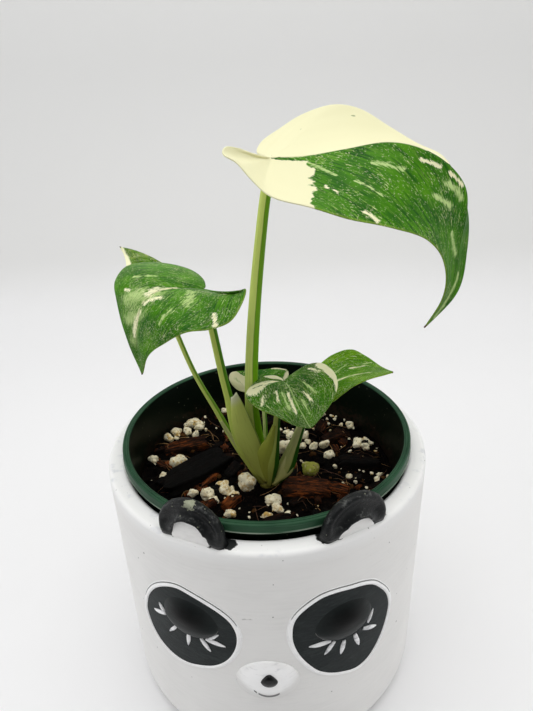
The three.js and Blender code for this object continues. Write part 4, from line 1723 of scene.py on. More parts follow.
    def _nose(self) -> Piece:
        """The nose, narrower towards its top.

        Returns:
            The nose.
        """
        deselect_all()
        bpy.ops.mesh.primitive_uv_sphere_add(segments=40, ring_count=24, radius=MM)
        bpy.ops.transform.resize(value=self.nose_radii)
        piece = settle("nose")
        points = read_points(piece)
        points[:, 0] *= 1.04 - 0.42 * np.clip(points[:, 2] / self.nose_radii[2], -0.1, 1)
        points += np.array([self.nose_centre[0], -self.nose_lift, self.nose_centre[1]])
        write_points(piece, self.wrapped(points))
        bpy.ops.object.shade_smooth()
        return piece

    def build(self) -> None:
        """Makes the whole cover pot."""
        white = SmallPaint("raised_white", srgb(246, 245, 243), srgb(222, 221, 219), 0.5).material()
        # The border's white is whiter than the casting's: a painted highlight on the raised border.
        bright = SmallPaint("border_highlight_white", srgb(255, 255, 255), srgb(232, 232, 232), 0.45).material()
        black = SmallPaint("patch_black", srgb(14, 23, 24), srgb(44, 51, 51), 0.5, 0.15).material()
        nose_black = SmallPaint("nose_black", srgb(4, 6, 6), srgb(24, 30, 30), 0.3, 0.3).material()
        lash_grey = SmallPaint("lash_grey", srgb(248, 248, 249), srgb(150, 152, 156), 0.5, 0.5, 0.8)
        lash_grey = lash_grey.material()
        # This grey paints the lid lines and the painted shadow in the borders' grooves.
        line_grey = SmallPaint("lid_line", srgb(120, 122, 118), srgb(50, 52, 50), 0.5, 0.3, 0.8).material()
        dress_cast(self._casting(), CastPaint().material(self))
        for eye in EYES:
            side = eye.side.value
            dress_cast(self._patch(eye), black)
            border, groove_shadow = self._border(eye)
            dress_cast(border, bright)
            dress_cast(groove_shadow, line_grey)
            lid = self._dome(f"eyelid_{side}", eye.lid_centre, eye.lid_radii, eye.lid_rise, (0.5, 1.7))
            paint = LidPaint().material(f"lid_shaded_paint_{side}", eye.lid_centre, eye.lid_radii[1], self.radius)
            dress_cast(lid, paint)
            dress_cast(self._lid_line(eye), line_grey)
            dress_cast(self._lashes(eye), lash_grey)
        muzzle = self._dome("muzzle", self.muzzle_centre, self.muzzle_radii, self.muzzle_rise, (1.1, 0.62))
        dress_cast(muzzle, MuzzlePaint().material(self))
        dress_cast(self._nose(), nose_black)
        for ear in EARS:
            ear.build(white)


@dataclass
class NurseryPot:
    """The thin green pot with its ridged flange, lip and drain holes."""

    rim_radius: float = 55.9
    top: float = 111.0
    base: float = 10.3
    wall: float = 1.0
    inner_top: float = 53.5
    inner_base: float = 45.0
    floor: float = 1.2
    lip_drop: float = 3.4
    lip_thickness: float = 0.8
    flange: float = 1.3
    hole_radius: float = 4.0
    hole_ring: float = 30.0
    holes: int = 5
    dust_height: float = 90.5

    def inside(self, height: float) -> float:
        """The inside radius at a height."""
        share = (height - self.base) / (self.top - self.base)
        return self.inner_base + (self.inner_top - self.inner_base) * share

    def profile(self) -> list[Pair]:
        """The turned profile, from the base's centre round the lip to the floor's centre.

        Returns:
            Its points as radius and height.
        """
        under, lip, outer = self.top - self.flange, self.top - self.lip_drop, self.rim_radius
        foot, floor_top = self.inside(self.base) + self.wall - 1.5, self.base + self.floor
        grooves = ((0.8, 0), (0.95, 0.22), (1.1, 0), (1.7, 0), (1.85, 0.18), (2.0, 0))
        return [
            (0, self.base),
            (foot, self.base),
            *arc_points((foot, self.base + 1.5), 1.5, -60, 0, 3),
            (self.inside(60) + self.wall, 60),
            (self.inside(under) + self.wall - 0.1, under),
            (outer - self.lip_thickness, under),
            (outer - self.lip_thickness, lip),
            *arc_points((outer - 0.1, lip + 0.35), 0.35, -100, 60, 4),
            (outer, lip + 1.2),
            *arc_points((outer - 0.5, self.top - 0.5), 0.5, 0, 90, 3),
            *((outer - inward, self.top - down) for inward, down in grooves),
            *arc_points((self.inside(self.top) + 0.4, self.top - 0.4), 0.4, 90, 180, 3),
            *((self.inside(height), height) for height in (104, 90, 50, floor_top + 1)),
            (self.inside(floor_top) - 1, floor_top),
            (0, floor_top),
        ]

    def build(self) -> None:
        """Makes the pot and drills its drain holes."""
        piece = spin_profile("nursery_pot_shell", self.profile(), 160)
        for i in range(self.holes):
            angle = 2 * math.pi * i / self.holes
            spot = (self.hole_ring * math.cos(angle), self.hole_ring * math.sin(angle), self.base)
            deselect_all()
            bpy.ops.mesh.primitive_cylinder_add(
                vertices=32, radius=self.hole_radius * MM, depth=6 * MM, location=Vector(spot) * MM
            )
            drill = active()
            choose(piece)
            modify("BOOLEAN", object=drill, operation="DIFFERENCE")
            bpy.data.objects.remove(drill, do_unlink=True)
        choose(piece)
        bpy.ops.object.shade_smooth_by_angle(angle=math.radians(35))
        dress(piece, [MouldedPlastic().material(self, self.dust_height)], Slot.PLASTIC, "nursery_pot")


@dataclass
class PottingMix:
    """The potting mix: its crumbly top, crumbs, bark chips, perlite grains and fibres."""

    level: float = 90.5
    slope: Pair = (-0.03, -0.05)
    swell: float = 0.7
    ripple: float = 0.35
    top_radius: float = 51.2
    bottom_radius: float = 44.8
    bottom: float = 11.8
    crown: Pair = (0.3, -12.0)
    crumb_count: int = 800
    large_crumb_count: int = 180
    small_bark_count: int = 90
    small_perlite_count: int = 110
    fibre_count: int = 150
    fibre_radius: float = 0.13
    chip_thickness: float = 4.6
    perlite: Sequence[tuple[float, float, float, float]] = (
        (-22, 46, 4, 0.2), (-48, 3, 4, 0.5), (-41, -10, 4.2, 0.3), (-37, 1, 5.6, 0.75), (-28, -19, 4, 0.3),
        (-8, -15, 7.6, 0.72), (3, -23, 5.4, 0.5), (4, -28, 4.4, 0.7), (1, -32, 3.8, 0.9), (8, -31, 3.2, 0.2),
        (8, 12, 6.8, 0.1), (8, 25, 3.4, 0.1), (16, 21, 4.6, 0.2), (20, 13, 4, 0.3), (24, 15, 5, 0.1),
        (26, 8, 4.6, 0.4), (18, -3, 6.8, 1.0), (33, -8, 3, 0.3), (35, -10, 2.3, 0.5), (19, -12, 2.1, 0.1),
        (32, 4, 1.9, 0.6), (38, 32, 3.7, 0.7),
    )
    clusters: Sequence[tuple[float, float, float, int, float, float]] = (
        (-40, 27, 10, 15, 3.0, 4.8), (-18, -20, 6.5, 11, 3.0, 5.0), (42, 14, 4.5, 7, 2.0, 4.0),
        (46, -8, 4, 7, 1.6, 2.6), (32, 36, 11, 16, 0.9, 2.0), (-11, -30, 3, 4, 2.4, 3.6),
        (12, 17, 6, 6, 2.6, 4.2), (-30, -30, 6, 5, 1.4, 2.6),
    )
    bark: Sequence[tuple[float, float, float, float, float, float]] = (
        (-29, -5, 32, 14, 0.85, 0.0), (-36, 13, 18, 8, 0.3, 0.75), (15, -16, 18, 11, -0.05, 0.8),
        (38, 1, 16, 6, 0.0, 0.25), (-14, -4, 9, 5, 1.1, 0.25), (27, -16, 9, 5, -0.3, 0.8),
        (29, 22, 11, 6, 0.6, 0.7), (-13, -25, 8, 4, 0.9, 0.9), (4, -36, 10, 5, 0.2, 0.5),
        (0, 32, 12, 6, 0.4, 0.2), (24, 30, 9, 5, 1.3, 0.6),
    )
    draw: random.Random = field(default_factory=lambda: random.Random(11))

    def height(self, x: np.ndarray, y: np.ndarray) -> np.ndarray:
        """The mix's height without its crumbs.

        Args:
            x: The places' first parts.
            y: The places' second parts.

        Returns:
            The heights there.
        """
        swell = self.swell * np.sin(x * 0.21 + 1) * np.cos(y * 0.17)
        ripple = self.ripple * np.sin(x * 0.5 + y * 0.43)
        return self.level + self.slope[0] * x + self.slope[1] * y + swell + ripple

    def _bed(self) -> Piece:
        """The body of the mix with its rough top.

        Returns:
            The bed.
        """
        around = 240
        radii = np.concatenate([np.linspace(0.01, self.top_radius, 72), [self.bottom_radius, 0.01]])[:, None]
        angles = np.linspace(0, 2 * math.pi, around, endpoint=False)
        x, y = radii * np.cos(angles), radii * np.sin(angles)
        points = np.stack([x, y, self.height(x, y)], axis=-1).reshape(-1, 3)
        lumps = wander(points, 4.5, 3.0) + 0.6 * wander(points, 1.8, 8.0) + 0.3 * wander(points, 0.8, 5.0)
        points[:, 2] += lumps
        points[-2 * around :, 2] = self.bottom
        return whole_piece("mix_bed", points, grid_faces(len(radii) - 1, around, closed=True))

    def _resting(self, spot: Pair, lift: float) -> Point:
        """A place above the mix's top at this spot."""
        return (*spot, float(self.height(np.array(spot[0]), np.array(spot[1]))) + lift)

    def _within(self, reach: float) -> Pair:
        """A random place in a circle round the middle."""
        radius, angle = reach * math.sqrt(self.draw.random()), self.draw.uniform(0, 2 * math.pi)
        return radius * math.cos(angle), radius * math.sin(angle)

    def _spot(self, reach: float) -> Pair:
        """Draws a random place on the mix, clear of the crown.

        Args:
            reach: The furthest that it is from the middle.

        Returns:
            The place.
        """
        spot = self._within(reach)
        while math.dist(spot, self.crown) <= 7:
            spot = self._within(reach)
        return spot

    def _turn(self, up: float | None = None) -> Matrix:
        """A random turn about a random axis, or one with this upward part."""
        angle, east, north = self.draw.uniform(0, 6.28), self.draw.random(), self.draw.random()
        return Matrix.Rotation(angle, 3, (east, north, self.draw.random() + 0.1 if up is None else up))

    def _tilt(self, axis: str, most: float) -> Matrix:
        """A random tilt either way about an axis, of this many radians at most."""
        return Matrix.Rotation(self.draw.uniform(-most, most), 3, axis)

    def _crumbs(self) -> None:
        """The crumbs, of two sizes."""
        draw, crumbs = self.draw, Collector()
        forms = {detail: [Form.lump(seed, detail) for seed in (1.0, 2.3, 4.1)] for detail in (1, 2)}
        for index in range(self.crumb_count):
            spot = self._spot(50.0)
            large = index < self.large_crumb_count
            width = draw.uniform(1.8, 3.2) if large else draw.uniform(0.7, 2.0)
            turn = self._turn(0.3)
            size = (width, width * draw.uniform(0.5, 1), width * draw.uniform(0.4, 0.8))
            form = draw.choice(forms[2 if large else 1])
            crumbs.add(form, turn, size, self._resting(spot, width * 0.1), draw.random())
        crumbs.dressed("mix_crumbs", LooseMix().material("mix_crumb"))

    def _chips(self) -> None:
        """The bark chips: those placed one by one, and the scattered small ones."""
        draw, bark = self.draw, Collector()
        forms = [Form.chip(seed, 3) for seed in (1.0, 5.2, 9.7, 14.3)]
        for index, (x, y, length, width, heading, tone) in enumerate(self.bark):
            tilt = self._tilt("X", 0.14) @ self._tilt("Y", 0.1)
            turn = Matrix.Rotation(heading, 3, "Z") @ tilt
            size = (length, width, self.chip_thickness)
            bark.add(forms[index % len(forms)], turn, size, self._resting((x, y), 0.7), tone)
        for _ in range(self.small_bark_count):
            spot = self._spot(48.0)
            length = draw.uniform(2.5, 8.5)
            turn = Matrix.Rotation(draw.uniform(0, 6.28), 3, "Z") @ self._tilt("Y", 0.5)
            size = (length, length * draw.uniform(0.3, 0.6), length * draw.uniform(0.18, 0.35))
            bark.add(draw.choice(forms), turn, size, self._resting(spot, 0.4), draw.random())
        bark.dressed("bark_chips", SplitBark().material())

    def _grains(self) -> None:
        """The perlite grains: those placed one by one, the clusters, and the scattered small ones."""
        draw, grains = self.draw, Collector()
        forms = [Form.puff(seed, 4) for seed in range(3, 10)]
        for x, y, width, tone in self.perlite:
            self._grain(grains, forms, (x, y), width, tone)
        for x, y, reach, count, least, most in self.clusters:
            for _ in range(count):
                east, north = self._within(reach)
                width = draw.uniform(least, most)
                self._grain(grains, forms, (x + east, y + north), width, draw.uniform(0, 0.95))
        small_forms = [Form.puff(seed, 3) for seed in (21, 22, 23)]
        for _ in range(self.small_perlite_count):
            spot = self._spot(49.0)
            self._grain(grains, small_forms, spot, 0.6 + 1.5 * draw.random() ** 2, draw.uniform(0, 0.9))
        grains.dressed("perlite_grains", PuffedPerlite().material())

    def _grain(self, grains: Collector, forms: list[Form], spot: Pair, width: float, tone: float) -> None:
        """Adds one perlite grain, kept inside the pot.

        Args:
            grains: Where it is gathered.
            forms: The forms it is chosen from.
            spot: Its place.
            width: Its width.
            tone: Its tone.
        """
        draw = self.draw
        inward = min(1.0, (self.top_radius - width * 0.6) / math.hypot(*spot))
        turn = self._turn()
        size = (width * 1.35, width * draw.uniform(0.95, 1.25), width * draw.uniform(0.9, 1.15))
        place = self._resting((spot[0] * inward, spot[1] * inward), width * 0.3)
        grains.add(draw.choice(forms), turn, size, place, tone)

    def _fibres(self) -> None:
        """The thin strands, each a three-sided tube that lies on the mix or stands off it."""
        draw, fibres, steps = self.draw, Collector(), 9
        for _ in range(self.fibre_count):
            x, y, low = self._resting(self._spot(46.0), 0.25)
            turn, length = draw.uniform(0, 6.28), draw.uniform(4, 15)
            curl, rise = draw.uniform(-2, 2), draw.uniform(0.2, 2.2)
            points = []
            for i in range(steps + 1):
                heading, slim = turn + curl * i / steps, self.fibre_radius * (1 - 0.7 * i / steps)
                z = low + rise * math.sin(math.pi * i / steps)
                for angle in (0, 2 * math.pi / 3, 4 * math.pi / 3):
                    out, lift = slim * math.cos(angle), slim * math.sin(angle)
                    points.append((x - out * math.sin(heading), y + out * math.cos(heading), z + lift))
                x += length / steps * math.cos(heading)
                y += length / steps * math.sin(heading)
            form = Form(np.array(points), tube_faces(steps, 3))
            fibres.add(form, Matrix.Identity(3), (1, 1, 1), (0, 0, 0), draw.random())
        fibres.dressed("mix_fibres", DryFibre().material())

    def build(self) -> None:
        """Makes the bed and everything that lies on it."""
        dress(self._bed(), [LooseMix().material("loose_mix")], Slot.MIX, "potting_mix")
        self._crumbs()
        self._chips()
        self._grains()
        self._fibres()


@dataclass
class Crown:
    """The short stem that the stalks clasp."""

    centre: Pair = (0.3, -12.0)
    bottom: float = 80.0
    level: float = 91.0
    top: float = 93.2
    flatness: float = 0.72

    def build(self) -> None:
        """Makes the crown."""
        profile = (
            (0, self.bottom), (2, self.bottom), (3.2, self.level), (3.5, self.level + 1.2),
            (3.3, self.top - 0.6), (2.6, self.top), (0, self.top),
        )
        piece = spin_profile("crown_stem", profile, 48)
        points = read_points(piece) * np.array([1, self.flatness, 1]) + np.array([*self.centre, 0])
        write_points(piece, points)
        write_map(piece, "skin", np.tile([0.0, 0.05], (len(points), 1)))
        skin = StalkSkin("crown", srgb(120, 112, 62), srgb(96, 104, 40), 0.4)
        dress(piece, [skin.material()], Slot.STEM, "crown")


@dataclass
class Stalk:
    """One leaf stalk, widened to a thin-edged sheath near its foot."""

    name: str
    path: Sequence[Point]
    widths: Sequence[Pair]
    depths: Sequence[Pair]
    skin: StalkSkin
    sheath_end: float = 0.35
    steps: int = 90
    sides: int = 28

    def build(self) -> None:
        """Makes the stalk."""
        curve = SmoothCurve(self.path)
        shares = np.linspace(0, 1, self.steps + 1)
        centres, heading = curve.at(shares), curve.heading(shares)
        side = unit(np.cross(np.array([0.0, 1.0, 0.0]), heading))
        depth = np.cross(heading, side)
        angles = np.linspace(0, 2 * math.pi, self.sides, endpoint=False)
        across, front = np.cos(angles), np.sin(angles)
        sheath = np.clip((self.sheath_end - shares) / 0.12, 0, 1)[:, None]
        thin = 1 - 0.5 * sheath * np.abs(across) ** 2
        ridge = 1 + 0.1 * np.exp(-(((across - self.skin.border) / 0.16) ** 2))
        widths, depths = (read_stops(stops, shares)[:, None, None] for stops in (self.widths, self.depths))
        rings = centres[:, None] + side[:, None] * across[:, None] * widths
        rings += depth[:, None] * (front * thin * ridge)[..., None] * depths
        points = np.vstack([rings.reshape(-1, 3), centres[:1], centres[-1:]])
        faces = grid_faces(self.steps, self.sides, closed=True)
        last = self.steps * self.sides
        foot, top = len(points) - 2, len(points) - 1
        for i in range(self.sides):
            after = (i + 1) % self.sides
            faces += [(foot, after, i), (top, last + i, last + after)]
        piece = mesh_piece(f"stalk_{self.name}", points, faces)
        skin_map = grid_map(across, shares[:, None])
        write_map(piece, "skin", np.vstack([skin_map, [[0.0, 0.0]], [[0.0, 1.0]]]))
        mend()
        bpy.ops.object.shade_smooth()
        dress(piece, [self.skin.material()], Slot.STEM, f"petiole_{self.name}")


@dataclass
class Sheath:
    """A thin clasping sheath between two edge lines, bowed towards the front."""

    name: str
    left: Sequence[Point]
    right: Sequence[Point]
    bow: float
    skin: StalkSkin
    thickness: float = 0.5
    rows: int = 40
    columns: int = 12

    def build(self) -> None:
        """Makes the sheath."""
        shares = np.linspace(0, 1, self.rows + 1)
        across = np.linspace(0, 1, self.columns + 1)
        left, right = SmoothCurve(self.left).at(shares), SmoothCurve(self.right).at(shares)
        points = left[:, None] * (1 - across)[:, None] + right[:, None] * across[:, None]
        points[..., 1] -= self.bow * np.sin(math.pi * across)
        piece = mesh_piece(f"sheath_{self.name}", points.reshape(-1, 3), grid_faces(self.rows, self.columns))
        write_map(piece, "skin", grid_map(across * 1.6 - 1, shares[:, None]))
        modify("SOLIDIFY", thickness=self.thickness * MM, offset=0)
        mend()
        bpy.ops.object.shade_smooth()
        dress(piece, [self.skin.material()], Slot.STEM, f"petiole_{self.name}")


@dataclass
class Blade:
    """One leaf blade, spanned by veins from its midrib to its two margins."""

    midrib: Sequence[Point]
    margins: tuple[Sequence[Point], Sequence[Point]]
    skin: Variegation
    fan: float = 0.3
    bulge: float = 0.8
    rows: int = 90
    columns: int = 18
    thickness: float = 0.55
    crease: float = 0.2
    ripple: float = 0.05
    cup: float = 0.0
    cup_place: float = 0.29
    cup_reach: float = 0.07

    def veins(self, half: Half) -> tuple[np.ndarray, np.ndarray, np.ndarray]:
        """The veins of one half.

        Args:
            half: Which half.

        Returns:
            Their roots on the midrib, their runs to the margin and the margin's heading.
        """
        margin = SmoothCurve(self.margins[half.value])
        along = np.linspace(0, 1, self.rows + 1)
        roots = SmoothCurve(self.midrib).at(np.maximum(0, (along - self.fan) / (1 - self.fan)))
        return roots, margin.at(along) - roots, margin.heading(along)

    def length(self) -> float:
        """The mean length of the two margins."""
        return sum(SmoothCurve(margin).length for margin in self.margins) / 2

    def flat_place(self, across: float, along: float) -> Pair:
        """Where a place on the blade is on its flat map.

        Args:
            across: The share across, signed by the half.
            along: The share along the margin.

        Returns:
            The place in millimetres.
        """
        _, runs, _ = self.veins(Half.FIRST if across < 0 else Half.SECOND)
        widths = np.linalg.norm(runs, axis=1)
        width = float(np.interp(along, np.linspace(0, 1, self.rows + 1), widths))
        return across * width, along * self.length()

    def half(self, half: Half) -> tuple[np.ndarray, ...]:
        """The surface of one half.

        Args:
            half: Which half.

        Returns:
            Its points, and its share, streak and flat maps, all row by row.
        """
        sign = -1 if half is Half.FIRST else 1
        along = np.linspace(0, 1, self.rows + 1)[:, None]
        across = np.linspace(0, 1, self.columns + 1)
        roots, runs, heading = self.veins(half)
        widths = np.linalg.norm(runs, axis=1)[:, None]
        normals = unit(np.cross(heading, runs)) * sign
        rise = self.bulge * np.minimum(1, widths / 20) * np.sin(math.pi * along)
        if half is Half.SECOND:
            rise -= self.cup * np.exp(-(((along - self.cup_place) / self.cup_reach) ** 2))
        drift = along - self.skin.lean * across
        ribs = np.sin(2 * math.pi * self.skin.ribs * drift)
        ripple = self.ripple * ribs * across * np.minimum(1, widths / 12)
        groove = self.crease * np.exp(-((across * widths / 1.6) ** 2))
        height = rise * 4 * across * (1 - across) - groove * np.minimum(1, along * 4) + ripple
        points = roots[:, None] + runs[:, None] * across[:, None] + normals[:, None] * height[..., None]
        length = self.length()
        streak_length = math.hypot(float(np.median(widths)), self.skin.lean * length)
        shares = grid_map(sign * across, along)
        streaks = grid_map(sign * across * streak_length, drift * length + 60 * half.value)
        return points.reshape(-1, 3), shares, streaks, grid_map(sign * across * widths, along * length)

    def build(self) -> None:
        """Makes the blade: both halves merged along the midrib, given their thickness and smoothed."""
        points, *maps = (np.vstack(pair) for pair in zip(*(self.half(half) for half in Half)))
        quads = grid_faces(self.rows, self.columns)
        count = (self.rows + 1) * (self.columns + 1)
        mirrored = [tuple(corner + count for corner in reversed(quad)) for quad in quads]
        piece = mesh_piece(f"blade_{self.skin.name}", points, [*quads, *mirrored])
        for name, values in zip(("share", "streak", "flat"), maps):
            write_map(piece, name, values)
        mend(outward=False)
        if sum(face.normal.z * face.area for face in piece.data.polygons) < 0:
            piece.data.flip_normals()
        modify("SOLIDIFY", thickness=self.thickness * MM, offset=0, material_offset=1)
        modify("SUBSURF", levels=1, render_levels=1)
        bpy.ops.object.shade_smooth()
        skins = [self.skin.material(self), self.skin.material(self, underside=True)]
        dress(piece, skins, Slot.LEAF, f"leaf_{self.skin.name}")


# Each stalk has its name, its middle line, its widths and depths along it, and its skin.
STALKS = (
    Stalk(
        "right",
        ((2.6, -12.8, 92.4), (7, -12.4, 98.8), (11, -10.5, 109), (15, -7, 118.5), (20.3, -1.3, 127.6)),
        ((0, 2.2), (0.2, 3.6), (0.45, 2.2), (0.7, 1.3), (1, 1.1)),
        ((0, 1.8), (0.3, 1.7), (0.6, 1.2), (1, 1)),
        StalkSkin("stalk_right", srgb(196, 200, 132), srgb(34, 84, 12), 0.35, 0.3), sheath_end=0.6,
    ),
    Stalk(
        "front",
        ((0.8, -13.4, 92.4), (2.3, -14.5, 103), (4, -13.7, 115), (5.2, -12.4, 126), (7.5, -9.8, 134.8)),
        ((0, 1.8), (0.25, 2.7), (0.5, 1.6), (0.75, 1.1), (1, 1)), ((0, 1.4), (0.4, 1.3), (1, 1)),
        StalkSkin("stalk_front", srgb(170, 182, 90), srgb(36, 84, 12), 0.35, 0.25), sheath_end=0.5,
    ),
    Stalk(
        "tall",
        (
            (-0.3, -11.4, 92.4), (-3.3, -10.2, 108), (-4.5, -9.5, 124), (-4, -9, 140), (-2, -8.5, 163),
            (1, -8, 187), (3.3, -8, 202), (5.3, -8, 211.4),
        ),
        ((0, 2), (0.15, 3.3), (0.27, 2.5), (0.55, 2.2), (0.85, 1.8), (1, 1.7)),
        ((0, 1.9), (0.2, 2), (0.6, 1.8), (1, 1.5)),
        StalkSkin("stalk_tall", srgb(208, 224, 118), srgb(108, 160, 10), 0.2), sheath_end=0.2, steps=140,
    ),
    Stalk(
        "left",
        (
            (-1.4, -12.2, 92.4), (-6, -12.5, 106), (-10, -12.3, 119), (-13.5, -10.7, 135), (-16.8, -9, 157),
            (-18.8, -7.3, 169.8),
        ),
        ((0, 2), (0.2, 4), (0.36, 3), (0.5, 1.6), (1, 1.4)), ((0, 1.6), (0.35, 1.4), (1, 1.25)),
        StalkSkin("stalk_left", srgb(198, 214, 102), srgb(76, 130, 12), 0.4),
    ),
    Stalk(
        "young", ((0.5, -10.4, 92.8), (0, -6.8, 105.5), (-0.3, -2, 116.5), (-1, 3.6, 122.7)),
        ((0, 1.2), (0.5, 0.9), (1, 0.8)), ((0, 1.2), (0.5, 0.9), (1, 0.8)),
        StalkSkin("stalk_young", srgb(190, 202, 130), srgb(84, 132, 26), 0.4),
    ),
    Stalk(
        "left_back",
        ((-1.8, -10.8, 92.4), (-10.5, -7.7, 105), (-18, -4.7, 120), (-26, -1.8, 136), (-33.2, 2, 155.8)),
        ((0, 1.6), (0.3, 1.4), (0.6, 1), (1, 0.95)), ((0, 1.4), (0.4, 1.1), (1, 0.9)),
        StalkSkin("stalk_left_back", srgb(206, 222, 114), srgb(108, 150, 34), 0.5),
    ),
)

# Each sheath has its name, its left and right edges, its bow, and its skin.
SHEATHS = (
    Sheath(
        "left",
        (
            (-1, -14.2, 94.2), (-5.1, -14.4, 101.4), (-9.4, -14.2, 111.4), (-11.2, -14, 117.2),
            (-11.9, -13.5, 124.3), (-11.6, -12.6, 131.6),
        ),
        (
            (0.8, -13.4, 94.2), (-0.5, -13.4, 103.7), (-1.5, -13.2, 110.7), (-4.3, -13, 120),
            (-6.7, -12.8, 127), (-9.6, -12.6, 133.6),
        ),
        0.8, StalkSkin("sheath_left", srgb(198, 210, 106), srgb(150, 170, 70), 0.55, 0.35, top_share=0.13),
    ),
    Sheath(
        "left_back", ((-3, -11.4, 94.5), (-9.6, -9.4, 104), (-14.6, -7.3, 112), (-17.4, -6.2, 117.2)),
        ((-2, -11.4, 94.2), (-8, -9.6, 103.4), (-12.6, -7.6, 111.4), (-16.4, -6.2, 117.6)), 0.4,
        StalkSkin("sheath_left_back", srgb(188, 194, 132), srgb(104, 132, 44), 0.5, 0.3),
    ),
    Sheath(
        "front",
        (
            (0, -13.8, 93.6), (-2.4, -13.9, 97.2), (-4, -13.8, 102.6), (-2.1, -14.4, 110.5),
            (0.7, -14.2, 114.8), (3.2, -13.6, 120),
        ),
        (
            (1.6, -14, 93.6), (2.4, -14.6, 98.2), (2.9, -15, 105.2), (3.4, -14.8, 112.7), (3.8, -14.4, 116),
            (4.2, -13.8, 120.2),
        ),
        0.7, StalkSkin("sheath_front", srgb(160, 168, 66), srgb(128, 142, 46), 0.5, 0.35),
    ),
    Sheath(
        "right",
        (
            (1.6, -13.6, 92.8), (3.1, -13.8, 94.8), (5.4, -13.2, 101), (8.4, -12, 106), (12.1, -10, 109.9),
            (14.5, -7.6, 113.6),
        ),
        (
            (2.6, -14, 92.8), (6.2, -14, 95), (9.6, -13, 97.6), (11, -12, 102.4), (12.6, -10.4, 107.4),
            (15, -7.8, 113.8),
        ),
        0.7, StalkSkin("sheath_right", srgb(202, 200, 138), srgb(170, 176, 96), 0.7, 0.3, top_share=0.3),
    ),
)

